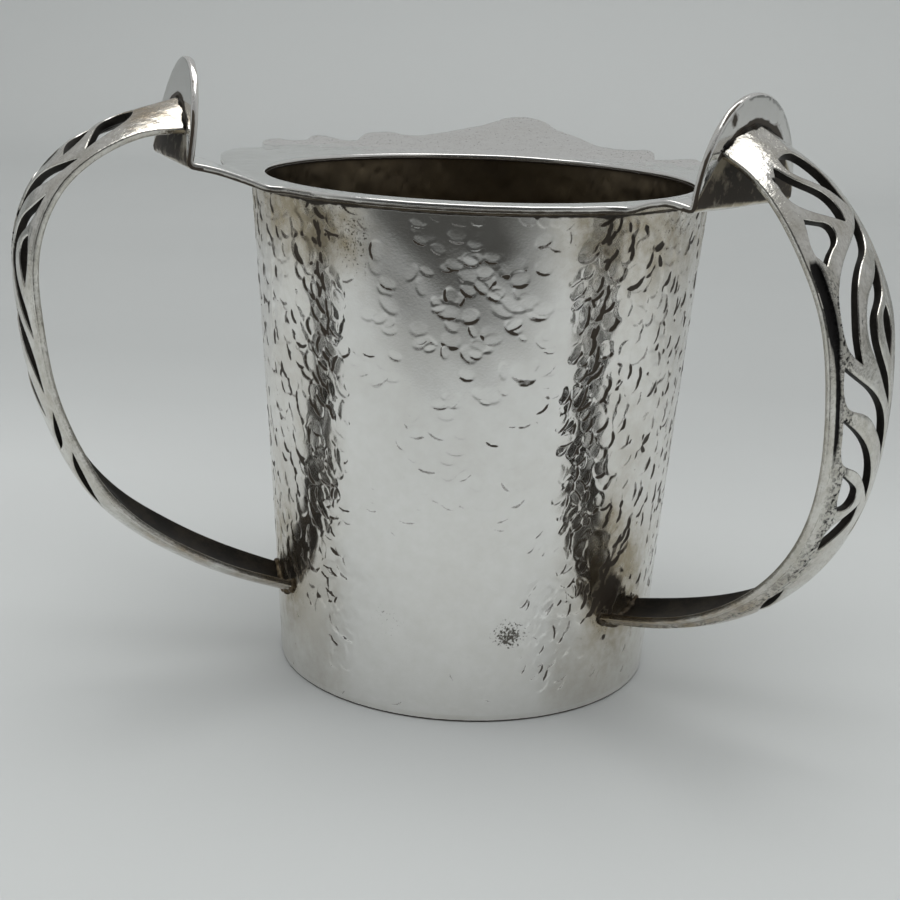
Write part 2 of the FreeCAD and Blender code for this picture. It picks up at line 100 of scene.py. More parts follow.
def unit(ways: Points) -> Points:
    """Directions brought to length 1."""
    return ways / np.linalg.norm(ways, axis=-1)[..., None]


def values_at(run: Points, line: Points, distance: Points) -> Points:
    """Values of a line at distances, from its values at the distances of its run."""
    return np.stack([np.interp(distance, run, line[:, axis])
                     for axis in range(line.shape[1])], axis=-1)


def measured(line: Points) -> Points:
    """Distance from a line's start to each of its points."""
    steps = np.linalg.norm(np.diff(line, axis=0), axis=1)
    return np.concatenate([[0.0], np.cumsum(steps)])


class Spline:
    """Smooth line through a few points, measured along its length."""

    def __init__(self, points: Sequence[Sequence[float]], samples: int = 1200) -> None:
        """Fit the line.

        Args:
            points: Points that the line passes through.
            samples: Count of places that its length is measured on.
        """
        knots = np.asarray(points, float)
        self.knots, self.at = knots, measured(knots)
        gaps = np.diff(self.at)
        count = len(knots)
        system, right = np.eye(count), np.zeros_like(knots)
        for row in range(1, count - 1):
            before, after = gaps[row - 1], gaps[row]
            system[row, row - 1:row + 2] = before, 2.0 * (before + after), after
            right[row] = 6.0 * ((knots[row + 1] - knots[row]) / after
                                - (knots[row] - knots[row - 1]) / before)
        self.bend = np.linalg.solve(system, right)
        self.place = np.linspace(0.0, self.at[-1], samples)
        self.line = self._value(self.place)
        self.run = measured(self.line)
        self.length = float(self.run[-1])

    def _value(self, place: Points) -> Points:
        """Points of the line at places of its own measure."""
        span = np.clip(np.searchsorted(self.at, place, side="right") - 1, 0, len(self.at) - 2)
        gap = self.at[span + 1] - self.at[span]
        after = (place - self.at[span]) / gap
        before = 1.0 - after
        bend = ((before ** 3 - before)[:, None] * self.bend[span]
                + (after ** 3 - after)[:, None] * self.bend[span + 1])
        return (before[:, None] * self.knots[span] + after[:, None] * self.knots[span + 1]
                + bend * (gap ** 2)[:, None] / 6.0)

    def points(self, distance: Points) -> Points:
        """Points at distances along the line; past an end they run on straight."""
        distance = np.asarray(distance, float)
        inside = np.clip(distance, 0.0, self.length)
        return (values_at(self.run, self.line, inside)
                + self.directions(inside) * (distance - inside)[..., None])

    def directions(self, distance: Points) -> Points:
        """Directions of the line at distances along it."""
        slopes = unit(np.gradient(self.line, self.run, axis=0))
        return unit(values_at(self.run, slopes, distance))

    def sampled(self, spacing: float) -> Points:
        """Points at about even spacing from end to end."""
        count = max(2, int(round(self.length / spacing)) + 1)
        return self.points(np.linspace(0.0, self.length, count))


def joined(runs: Sequence[Points], spacing: float) -> Points:
    """Closed loop of several runs, with straight joins cut to the spacing.

    Args:
        runs: Runs of points in order.
        spacing: Longest step on a straight join.

    Returns:
        The points of the loop, without a repeated end.
    """
    points = [np.asarray(point, float) for run in runs for point in run]
    loop = points[:1]
    for point in points[1:] + points[:1]:
        last = loop[-1]
        gap = float(np.linalg.norm(point - last))
        if gap < SAME_PLACE:
            continue
        extra = int(gap / spacing)
        loop += [last + (point - last) * step / (extra + 1) for step in range(1, extra + 1)]
        loop.append(point)
    return np.asarray(loop[:-1])


def signed_area(loop: Points) -> float:
    """Area of a closed loop, positive when it turns to the left."""
    following = np.roll(loop, -1, axis=0)
    return float(np.sum(loop[:, 0] * following[:, 1] - following[:, 0] * loop[:, 1]) / 2.0)


# Meshes

class Build:
    """Gathers vertices, faces and masks of one mesh."""

    def __init__(self, name: str) -> None:
        """Start an empty mesh under a name."""
        self.name = name
        self.points: list[Points] = []
        self.faces: list[tuple[Points, int]] = []
        self.masks: dict[str, list[tuple[int, Points]]] = {}
        self.count = 0

    def add(self, points: Points, **masks: Points) -> int:
        """Add vertices and their masks.

        Args:
            points: Places in millimetres.
            **masks: One value for each vertex under a mask's name.

        Returns:
            Index of the first new vertex.
        """
        start = self.count
        self.points.append(np.asarray(points, float))
        for name, values in masks.items():
            spread = np.broadcast_to(np.asarray(values, float), (len(points),))
            self.masks.setdefault(name, []).append((start, spread))
        self.count += len(points)
        return start

    def fill(self, faces: Points, finish: int = 0) -> None:
        """Add faces of equal corner count with the index of their finish."""
        if len(faces):
            self.faces.append((np.asarray(faces, int), finish))

    def row(self, points: Points, **masks: Points) -> Points:
        """Add a row of vertices with their masks and return their indexes."""
        return np.arange(self.add(points, **masks), self.count)

    def skin(self, rows: Sequence[Points], finish: int = 0) -> None:
        """Join closed rows of equal count, one to the next, with four-sided faces."""
        for first, second in zip(rows, rows[1:]):
            self.fill(np.stack([first, np.roll(first, -1), np.roll(second, -1), second], axis=1),
                      finish)

    def done(self, materials: Sequence[bpy.types.Material], smooth_angle: float = 50.0,
             normals: Points | None = None) -> bpy.types.Object:
        """Make the Blender object.

        Args:
            materials: Finishes in the order of the faces' indexes.
            smooth_angle: Widest angle in degrees that is still shaded as smooth.
            normals: Normals of the vertices, where they are known from the surface itself.

        Returns:
            The new object, linked to the scene.
        """
        mesh = bpy.data.meshes.new(self.name)
        points = np.concatenate(self.points) * MM
        corners = np.concatenate([faces.reshape(-1) for faces, _ in self.faces])
        sizes = np.concatenate([np.full(len(faces), faces.shape[1]) for faces, _ in self.faces])
        finishes = np.concatenate([np.full(len(faces), finish) for faces, finish in self.faces])
        starts = np.concatenate([[0], np.cumsum(sizes)[:-1]])
        mesh.vertices.add(len(points))
        mesh.vertices.foreach_set("co", points.reshape(-1))
        mesh.loops.add(len(corners))
        mesh.loops.foreach_set("vertex_index", corners.astype(np.int32))
        mesh.polygons.add(len(sizes))
        mesh.polygons.foreach_set("loop_start", starts.astype(np.int32))
        mesh.polygons.foreach_set("material_index", finishes.astype(np.int32))
        mesh.polygons.foreach_set("use_smooth", np.ones(len(sizes), bool))
        mesh.update(calc_edges=True)
        mesh.validate()
        for name, parts in self.masks.items():
            values = np.zeros(self.count)
            for start, part in parts:
                values[start:start + len(part)] = part
            layer = mesh.attributes.new(name, "FLOAT", "POINT")
            layer.data.foreach_set("value", values)
        for material in materials:
            mesh.materials.append(material)
        piece = bpy.data.objects.new(self.name, mesh)
        bpy.context.scene.collection.objects.link(piece)
        if normals is None:
            mesh.set_sharp_from_angle(angle=math.radians(smooth_angle))
        else:
            mesh.normals_split_custom_set_from_vertices(normals)
        return piece


class Pattern:
    """Flat pattern of a sheet: its outline, its openings and a mesh of its face."""

    def __init__(self, outline: Points, openings: Sequence[Points], spacing: float,
                 rounding: float) -> None:
        """Lay out the pattern.

        Args:
            outline: Closed loop of the sheet's edge.
            openings: Closed loops of its openings.
            spacing: Distance between the mesh's vertices.
            rounding: Radius of the rounded arrises.
        """
        loops = [outline if signed_area(outline) > 0 else outline[::-1]]
        loops += [loop if signed_area(loop) < 0 else loop[::-1] for loop in openings]
        self.loops, self.spacing, self.rounding = loops, spacing, rounding
        self.inner = [self._moved_in(loop, rounding) for loop in loops]
        self._mesh()

    @staticmethod
    def _moved_in(loop: Points, amount: float) -> Points:
        """Loop moved into the metal, with its corners kept short."""
        before = loop - np.roll(loop, 1, axis=0)
        after = np.roll(loop, -1, axis=0) - loop
        sides = []
        for edge in (before, after):
            length = np.maximum(np.linalg.norm(edge, axis=1), 1e-9)
            sides.append(np.stack([-edge[:, 1], edge[:, 0]], axis=1) / length[:, None])
        middle = sides[0] + sides[1]
        middle /= np.maximum(np.linalg.norm(middle, axis=1), 0.35)[:, None]
        reach = 1.0 / np.maximum(np.sum(middle * sides[0], axis=1), 0.55)
        return loop + middle * (amount * np.minimum(reach, MITRE_LIMIT))[:, None]

    def inside(self, places: Points, loops: Sequence[Points]) -> Points:
        """Which places are on the metal between the loops."""
        hits = np.zeros(len(places), int)
        for loop in loops:
            for (x0, y0), (x1, y1) in zip(loop, np.roll(loop, -1, axis=0)):
                if y0 == y1:
                    continue
                crosses = (places[:, 1] >= min(y0, y1)) & (places[:, 1] < max(y0, y1))
                at = x0 + (places[:, 1] - y0) * (x1 - x0) / (y1 - y0)
                hits += crosses & (at > places[:, 0])
        return hits % 2 == 1

    @staticmethod
    def nearest(places: Points, targets: Points) -> Points:
        """Distance from each place to the nearest target."""
        found = np.full(len(places), 1e9)
        for start in range(0, len(targets), 200):
            part = targets[start:start + 200]
            gaps = np.linalg.norm(places[:, None, :] - part[None, :, :], axis=2)
            found = np.minimum(found, gaps.min(axis=1))
        return found

    def _mesh(self) -> None:
        """Fill the face between the loops with small triangles."""
        rim = np.concatenate(self.inner)
        low, high = rim.min(axis=0), rim.max(axis=0)
        grid = []
        for number, level in enumerate(np.arange(low[1], high[1], self.spacing * ROW_SHARE)):
            across = np.arange(low[0] + (number % 2) * self.spacing / 2, high[0], self.spacing)
            grid.append(np.stack([across, np.full(len(across), level)], axis=1))
        grid = np.concatenate(grid)
        grid = grid[self.inside(grid, self.inner)]
        grid = grid[self.nearest(grid, rim) > self.spacing * EDGE_SHARE]
        places = np.concatenate([rim, grid])
        starts = np.cumsum([0] + [len(loop) for loop in self.inner])
        edges = [(start + step, start + (step + 1) % len(loop))
                 for start, loop in zip(starts.tolist(), self.inner) for step in range(len(loop))]
        found = geometry.delaunay_2d_cdt([Vector(place) for place in places], edges, [], 0, 1e-7)
        self.places = np.array([tuple(place) for place in found[0]])
        index = np.full(len(places), -1)
        for new, olds in enumerate(found[3]):
            for old in olds:
                index[old] = new
        triangles = np.array([list(face) for face in found[2]])
        middles = self.places[triangles].mean(axis=1)
        triangles = triangles[self.inside(middles, self.inner)]
        corners = self.places[triangles]
        turn = np.cross(corners[:, 1] - corners[:, 0], corners[:, 2] - corners[:, 0])
        triangles[turn < 0] = triangles[turn < 0][:, ::-1]
        self.triangles = triangles
        self.rims = [index[start:end] for start, end in zip(starts, starts[1:])]
        self.edge_gap = self.nearest(self.places, np.concatenate(self.loops))
        self.opening_gap = self.nearest(self.places, np.concatenate(self.loops[1:]))


Placed = Callable[[Points, Points], Points]


@dataclass
class SheetMesh:
    """Thick sheet made from a pattern and a rule that bends it into place."""

    name: str
    pattern: Pattern
    thickness: float
    place: Placed
    masks: Callable[[Points, bool], dict[str, Points]]
    deeper: float = 0.0
    dark_edge: bool = True

    def build(self, finishes: Sequence[bpy.types.Material], cut_finish: int = 0,
              under_finish: int = 0) -> bpy.types.Object:
        """Make the sheet's mesh.

        Args:
            finishes: Materials by index; the upper face and the outer edge take the first.
            cut_finish: Index of the finish on the walls of openings.
            under_finish: Index of the finish on the lower face.

        Returns:
            The new object.
        """
        flat, depth = self.pattern, self.thickness
        build = Build(self.name)
        faces = []
        for is_lower in (False, True):
            masks = self.masks(flat.places, is_lower)
            masks["rim_gap"] = flat.edge_gap
            level = np.full(len(flat.places), depth if is_lower else 0.0)
            if is_lower and self.deeper:
                level += self.deeper * (1.0 - smooth_step(flat.opening_gap, 0.3, 2.2))
            faces.append(build.add(self.place(flat.places, level), **masks))
        upper, lower = faces
        build.fill(flat.triangles + upper, 0)
        build.fill(flat.triangles[:, ::-1] + lower, under_finish)
        turn = flat.rounding
        for number, (loop, inner, rim) in enumerate(zip(flat.loops, flat.inner, flat.rims)):
            finish = cut_finish if number else 0
            rows = [rim + upper]
            bottom = depth + (self.deeper if number else 0.0)
            for part, level in ((0.3, turn * 0.3), (0.0, turn), (0.0, bottom - turn),
                                (0.3, bottom - turn * 0.3)):
                row = loop + (inner - loop) * part
                # Lower rows of each edge take the lower face's masks; on the rim plate these hold
                # painted shade on the edge's lower half.
                row_masks = self.masks(row, level > depth * 0.4 and (self.dark_edge or number > 0))
                row_masks["rim_gap"] = np.zeros(len(row))
                rows.append(build.row(self.place(row, np.full(len(row), level)), **row_masks))
            rows.append(rim + lower)
            bright = 3 if number > 0 else 1
            build.skin(rows[:bright][::-1], 0)
            build.skin(rows[bright - 1:][::-1], finish)
        return build.done(finishes)


@dataclass(frozen=True)
class Bead:
    """Closed bead of solder of uneven thickness."""

    name: str
    size: float
    seed: int
    unevenness: float
    waves: range
    sides: int = 8

    def build(self, path: Points, out: Points, up: Points,
              finish: bpy.types.Material) -> bpy.types.Object:
        """Lay the bead.

        Args:
            path: Closed line of its middle.
            out: First direction across the line.
            up: Second direction across it.
            finish: Its material.

        Returns:
            The bead.
        """
        turns = np.arange(len(path)) / len(path) * TURN
        random = np.random.default_rng(self.seed)
        swell = np.ones(len(path))
        for wave in self.waves:
            swell += self.unevenness * np.sin(wave * turns + random.uniform(0, PHASES))
        build, thick = Build(self.name), (self.size * swell)[:, None]
        rows = [build.row(path + (out * math.cos(turn) + up * math.sin(turn)) * thick)
                for turn in np.arange(self.sides) / self.sides * TURN]
        build.skin(rows + rows[:1])
        return build.done([finish], ALL_SMOOTH)


# Hammer marks

@dataclass(frozen=True)
class Blow:
    """How blows fall at one place: the share that lands, and the mark that one leaves."""

    share: float
    radius: float
    depth: float
    tilt: float
    lean: float
    # Darkness of the mark's crescent: partly oxide, partly painted shade of its steep edge.
    oxide_and_shade: float


class HammerMarks:
    """Height of a sheet that was struck with a round-faced hammer, and the dark crescents at its
    marks: partly oxide, partly painted shade of their steep edges.
    """

    def __init__(self, low: tuple[float, float], high: tuple[float, float], seed: int,
                 wraps: bool = False, cell: float = 0.15) -> None:
        """Start a smooth sheet.

        Args:
            low: Lowest corner of the sheet.
            high: Highest corner of the sheet.
            seed: Start of the random places.
            wraps: Whether the sheet closes round on itself along its first side.
            cell: Step of the height map.
        """
        self.low, self.cell, self.wraps = np.array(low), cell, wraps
        counts = np.round((np.array(high) - self.low) / cell).astype(int)
        self.span = counts * cell
        self.height = np.zeros(counts + (0 if wraps else 1, 1))
        self.oxide_and_shade = np.zeros_like(self.height)
        self.random = np.random.default_rng(seed)

    def strike(self, centre: Points, radius: float, depth: float, tilt: float, lean: float,
               squash: float, oxide_and_shade: float = 0.0) -> None:
        """Press one mark into the sheet, over what was struck there before.

        Args:
            centre: Middle of the mark.
            radius: Half its length.
            depth: How deep its leading edge lies.
            tilt: Share of the depth that its other edge lacks.
            lean: Direction of the leading edge in radians.
            squash: Its width as a share of its length.
            oxide_and_shade: How dark its steep leading edge is: partly oxide, partly painted
                shade.
        """
        reach = int(radius / self.cell) + 2
        middle = np.round((centre - self.low) / self.cell).astype(int)
        across = np.arange(middle[0] - reach, middle[0] + reach + 1)
        upward = np.arange(middle[1] - reach, middle[1] + reach + 1)
        upward = upward[(upward >= 0) & (upward < self.height.shape[1])]
        if not self.wraps:
            across = across[(across >= 0) & (across < self.height.shape[0])]
        if not len(across) or not len(upward):
            return
        x = (across[:, None] * self.cell + self.low[0] - centre[0]) / radius
        y = (upward[None, :] * self.cell + self.low[1] - centre[1]) / radius
        ahead = (x * math.cos(lean) + y * math.sin(lean)) / squash
        side = -x * math.sin(lean) + y * math.cos(lean)
        out = np.sqrt(ahead ** 2 + side ** 2)
        bowl = -depth * (1.0 - tilt + tilt * smooth_step(ahead, -0.85, 0.75))
        rising = smooth_step(out, 0.62, 1.0)
        edge = (smooth_step(ahead, 0.20, 0.62) * smooth_step(out, 0.42, 0.66)
                * (1.0 - smooth_step(out, 0.90, 1.04)))
        block = np.ix_(across % self.height.shape[0], upward)
        self.height[block] = bowl * (1.0 - rising) + self.height[block] * rising
        self.oxide_and_shade[block] = np.maximum(self.oxide_and_shade[block] * rising, oxide_and_shade * edge)

    def wave(self, height: float, lengths: tuple[float, float], count: int = 14) -> None:
        """Add slow waves, as sheet that was raised by hand has.

        Args:
            height: Greatest height of one wave.
            lengths: Shortest and longest wave.
            count: Count of waves.
        """
        x = (np.arange(self.height.shape[0]) * self.cell)[:, None]
        y = (np.arange(self.height.shape[1]) * self.cell)[None, :]
        for _ in range(count):
            length, turn, start = (self.random.uniform(*lengths), self.random.uniform(0, math.pi),
                                   self.random.uniform(0, PHASES))
            rounds = max(1, round(self.span[0] * abs(math.cos(turn)) / length))
            self.height += height / count ** 0.5 * np.sin(
                x * (TURN * rounds / self.span[0]) + y * (TURN * math.sin(turn) / length) + start)

    def slopes(self, places: Points) -> tuple[Points, Points]:
        """Slopes of the sheet at places, along its two sides."""
        step = self.cell * 0.75
        across, upward = (self.sample(places + shift) - self.sample(places - shift)
                          for shift in np.eye(2) * step)
        return across / (2.0 * step), upward / (2.0 * step)

    def sample(self, places: Points, map_: Points | None = None) -> Points:
        """Height of the sheet at places, or the value of another map of it."""
        at = (places - self.low) / self.cell
        whole = np.floor(at).astype(int)
        across, upward = (at - whole).T
        rows, columns = self.height.shape
        left, right = (whole[:, 0] + more for more in (0, 1))
        if self.wraps:
            left, right = left % rows, right % rows
        else:
            left, right = np.clip(left, 0, rows - 1), np.clip(right, 0, rows - 1)
        map_ = self.height if map_ is None else map_
        low, high = (map_[left, level] * (1 - across) + map_[right, level] * across
                     for level in (np.clip(whole[:, 1] + more, 0, columns - 1) for more in (0, 1)))
        return low * (1 - upward) + high * upward


class Side(Enum):
    """The two handle sides."""

    LEFT = -1
    RIGHT = 1


# Sizes

@dataclass(frozen=True)
class CupSizes:
    """Sizes of the bowl and of the rim plate."""

    height: float = 100.0
    foot_radius: float = 39.0
    top_radius: float = 45.7
    wall: float = 1.2
    floor: float = 1.5
    plate: float = 1.3
    mouth_radius: float = 42.9
    flange_radius: float = 47.9
    lip_reach: float = 75.7
    lip_half_width: float = 59.8
    bend_start: float = 41.0
    bend_radius: float = 40.0
    lip_slope: float = 12.0
    ear_angle: float = 58.5
    bow: float = 0.25

    def wall_radius(self, level: Points) -> Points:
        """Outside radius of the wall at heights, with its slight hollow."""
        share = np.clip((np.asarray(level, float) - self.floor) / (self.height - self.floor), 0, 1)
        straight = self.foot_radius + (self.top_radius - self.foot_radius) * share
        return straight - 4.0 * self.bow * share * (1.0 - share)


@dataclass(frozen=True)
class EarSizes:
    """Sizes of one ear and its lug; the path is the mid-line in radius and height."""

    side: Side
    width: float
    reach: float
    rise: float
    lean: float
    lug_height: float
    path: tuple[tuple[float, float], ...]

    @property
    def sign(self) -> int:
        """-1 on the left and 1 on the right."""
        return self.side.value

    @property
    def fold_level(self) -> float:
        """Height of the fold's outer corner."""
        return CUP.height + self.rise

    def lug_face(self, level: float) -> float:
        """Distance from the axis to the lug's outer face at a height."""
        return self.reach + (level - self.fold_level) * math.tan(math.radians(self.lean))


CUP = CupSizes()
LEFT_EAR = EarSizes(Side.LEFT, 30.0, 63.0, 4.3, -9.5, 19.1,
                    ((46.0, 100.65), (47.6, 100.75), (50.2, 101.6), (53.0, 102.6), (56.0, 103.6),
                     (58.5, 104.25), (60.2, 104.6)))
RIGHT_EAR = EarSizes(Side.RIGHT, 32.0, 61.1, 1.7, 3.5, 19.9,
                     ((46.0, 100.65), (47.6, 100.8), (50.0, 101.6), (52.6, 102.4), (55.0, 102.75),
                      (57.0, 102.65), (58.8, 102.35)))

LEFT_CROWN_SHARES = (
    (-0.001, 1.000), (0.362, 0.958), (0.698, 0.869), (0.908, 0.733), (0.977, 0.594),
    (0.998, 0.470), (0.963, 0.360), (0.886, 0.260), (0.742, 0.177), (0.545, 0.111),
    (0.316, 0.054), (0.034, 0.004))
RIGHT_CROWN_SHARES = (
    (-0.024, 1.000), (0.311, 0.928), (0.583, 0.824), (0.789, 0.710), (0.914, 0.590),
    (0.994, 0.470), (1.021, 0.352), (0.963, 0.240), (0.819, 0.148), (0.603, 0.078),
    (0.338, 0.031), (0.035, -0.002))
# Shares of the length with those of the half width, the arch and the drift.
BAND_SHARES = np.array((
    (0.00, 0.81, 1.00, 0.00), (0.05, 0.89, 0.78, 0.00), (0.10, 0.95, 0.63, 0.00),
    (0.20, 1.00, 0.48, 0.00), (0.30, 0.985, 0.485, 0.00), (0.40, 0.935, 0.57, 0.00),
    (0.50, 0.87, 0.67, 0.00), (0.60, 0.813, 0.735, 0.00), (0.70, 0.79, 0.755, 0.01),
    (0.80, 0.787, 0.745, 0.03), (0.90, 0.70, 0.715, 0.08), (1.00, 0.56, 0.68, 0.14)))
# Leaves as shares of the length and of the half width: one flank from point to point, and
# the inner places of the other.
LEAF_SHARES = (
    (((0.07, -0.34), (0.063, 0.0), (0.072, 0.34), (0.092, 0.54), (0.118, 0.64), (0.148, 0.7)),
     ((0.088, -0.36), (0.104, -0.2), (0.121, 0.18), (0.134, 0.46))),
    (((0.08, -0.58), (0.104, -0.38), (0.122, -0.08), (0.141, 0.22), (0.158, 0.31), (0.174, 0.3)),
     ((0.104, -0.73), (0.132, -0.72), (0.15, -0.5), (0.163, -0.14))),
    (((0.16, -0.68), (0.168, -0.42), (0.18, -0.16), (0.19, -0.16), (0.206, -0.38),
      (0.225, -0.64)),
     ((0.182, -0.75), (0.205, -0.78))),
    (((0.162, 0.8), (0.186, 0.74), (0.208, 0.6), (0.227, 0.28), (0.252, -0.06), (0.287, -0.27),
      (0.322, -0.34), (0.354, -0.28)),
     ((0.184, 0.48), (0.202, 0.14), (0.232, -0.35), (0.264, -0.61), (0.299, -0.7),
      (0.334, -0.58))),
    (((0.227, 0.76), (0.252, 0.72), (0.271, 0.62), (0.286, 0.42), (0.302, 0.23), (0.335, 0.24),
      (0.36, 0.42), (0.386, 0.64), (0.424, 0.78)),
     ((0.254, 0.42), (0.276, 0.06), (0.301, -0.09), (0.326, -0.09), (0.357, 0.12), (0.392, 0.4))),
    (((0.287, 0.68), (0.304, 0.76), (0.328, 0.78), (0.356, 0.68)),
     ((0.303, 0.44), (0.326, 0.46))),
    (((0.351, -0.72), (0.371, -0.38), (0.39, 0.0), (0.409, 0.3), (0.436, 0.58), (0.47, 0.72),
      (0.502, 0.72)),
     ((0.376, -0.75), (0.4, -0.68), (0.418, -0.2), (0.446, 0.22), (0.474, 0.54))),
    (((0.417, -0.74), (0.438, -0.38), (0.461, -0.06), (0.486, 0.18), (0.514, 0.34), (0.542, 0.4)),
     ((0.446, -0.74), (0.474, -0.68), (0.49, -0.3), (0.514, 0.06))),
    (((0.526, 0.8), (0.554, 0.76), (0.58, 0.6), (0.594, 0.26)),
     ((0.546, 0.62), (0.568, 0.42))),
    (((0.492, -0.6), (0.506, -0.34), (0.524, -0.12), (0.539, -0.2), (0.543, -0.54)),
     ((0.508, -0.6), (0.524, -0.6))),
    (((0.541, 0.1), (0.562, 0.05), (0.58, -0.18), (0.606, -0.56)),
     ((0.552, -0.2), (0.574, -0.58))),
    (((0.592, 0.82), (0.626, 0.78), (0.668, 0.6), (0.722, 0.04)),
     ((0.616, 0.56), (0.654, 0.34))),
    (((0.686, -0.52), (0.714, -0.3), (0.744, -0.06), (0.78, 0.22)),
     ((0.716, -0.58), (0.748, -0.3))),
    (((0.796, 0.22), (0.812, 0.3), (0.832, 0.24), (0.848, 0.06)),
     ((0.81, 0.08), (0.83, 0.0))),
)
LIP_RUN_SHARES = (
    ((-0.880, -0.020), (-0.972, 0.165), (-1.000, 0.330), (-0.973, 0.423), (-0.928, 0.458)),
    ((-0.963, 0.561), (-0.972, 0.625), (-0.938, 0.642), (-0.871, 0.631), (-0.821, 0.647)),
    ((-0.813, 0.688), (-0.783, 0.707), (-0.732, 0.695), (-0.664, 0.672), (-0.624, 0.675)),
    ((-0.620, 0.715), (-0.610, 0.750), (-0.562, 0.768), (-0.503, 0.765), (-0.446, 0.745),
     (-0.395, 0.744), (-0.350, 0.765), (-0.306, 0.798), (-0.219, 0.873), (-0.130, 0.952),
     (-0.085, 0.993), (-0.033, 1.000), (0.020, 0.985), (0.079, 0.948), (0.147, 0.873),
     (0.204, 0.841), (0.261, 0.794), (0.316, 0.748), (0.378, 0.724), (0.441, 0.713),
     (0.517, 0.711), (0.537, 0.690)),
    ((0.547, 0.631), (0.619, 0.638), (0.689, 0.651), (0.722, 0.630)),
    ((0.745, 0.605), (0.811, 0.600), (0.880, 0.610), (0.915, 0.580)),
    ((0.905, 0.480), (0.950, 0.425), (0.980, 0.330), (0.962, 0.165), (0.880, -0.020)),
)


@dataclass(frozen=True)
class BandSizes:
    """Sizes of one handle band."""

    ear: EarSizes
    crown_shares: tuple[tuple[float, float], ...]
    bow: float = 39.4
    head_level: float = 115.4
    foot_level: float = 17.2
    width: float = 24.7
    arch: float = 3.7
    head_lift: float = 0.5
    head_arch: float = 4.8
    thickness: float = 1.3


@dataclass(frozen=True)
class Stain:
    """Soft-edged patch of one mask; sizes in millimetres, the wall's places in degrees."""

    mask: str
    strength: float
    place: float
    level: float
    wide: float
    tall: float

    def weight(self, across: Points, up: Points) -> Points:
        """Strength at distances from the stain's middle."""
        return self.strength * hump(across, self.wide) * hump(up, self.tall)


WALL_STAINS = (
    Stain("tarnish", 0.5, -21.0, 94.0, 4.0, 6.0), Stain("tarnish", 1.1, -58.0, 24.0, 9.0, 12.0),
    Stain("tarnish", 1.1, 58.0, 24.0, 9.0, 12.0), Stain("tarnish", 1.0, 51.0, 34.0, 4.5, 9.0),
    Stain("specks", 0.8, -21.0, 93.0, 4.0, 6.0), Stain("specks", 0.4, 64.0, 97.0, 6.0, 4.0),
    Stain("specks", 0.5, -56.0, 28.0, 8.0, 12.0), Stain("specks", 0.5, 56.0, 28.0, 8.0, 12.0),
    Stain("specks", 1.8, 21.5, 18.5, 3.3, 3.0), Stain("specks", 0.5, -12.0, 20.0, 4.0, 4.0),
    Stain("soot", 0.72, 53.0, 24.5, 6.0, 5.0), Stain("soot", 0.30, 56.0, 37.0, 3.0, 7.0),
    Stain("soot", 0.72, 53.5, 14.6, 0.9, 0.9),
)
LUG_STAINS = {  # Levels from the crown of the band that meets the lug.
    Side.LEFT: (Stain("soot", 0.36, 9.0, 1.0, 2.0, 2.0),),
    Side.RIGHT: (Stain("soot", 0.62, -7.6, 1.0, 1.7, 2.2),
                 Stain("soot", 0.34, 8.5, 0.0, 2.4, 4.0)),
}


# Finishes

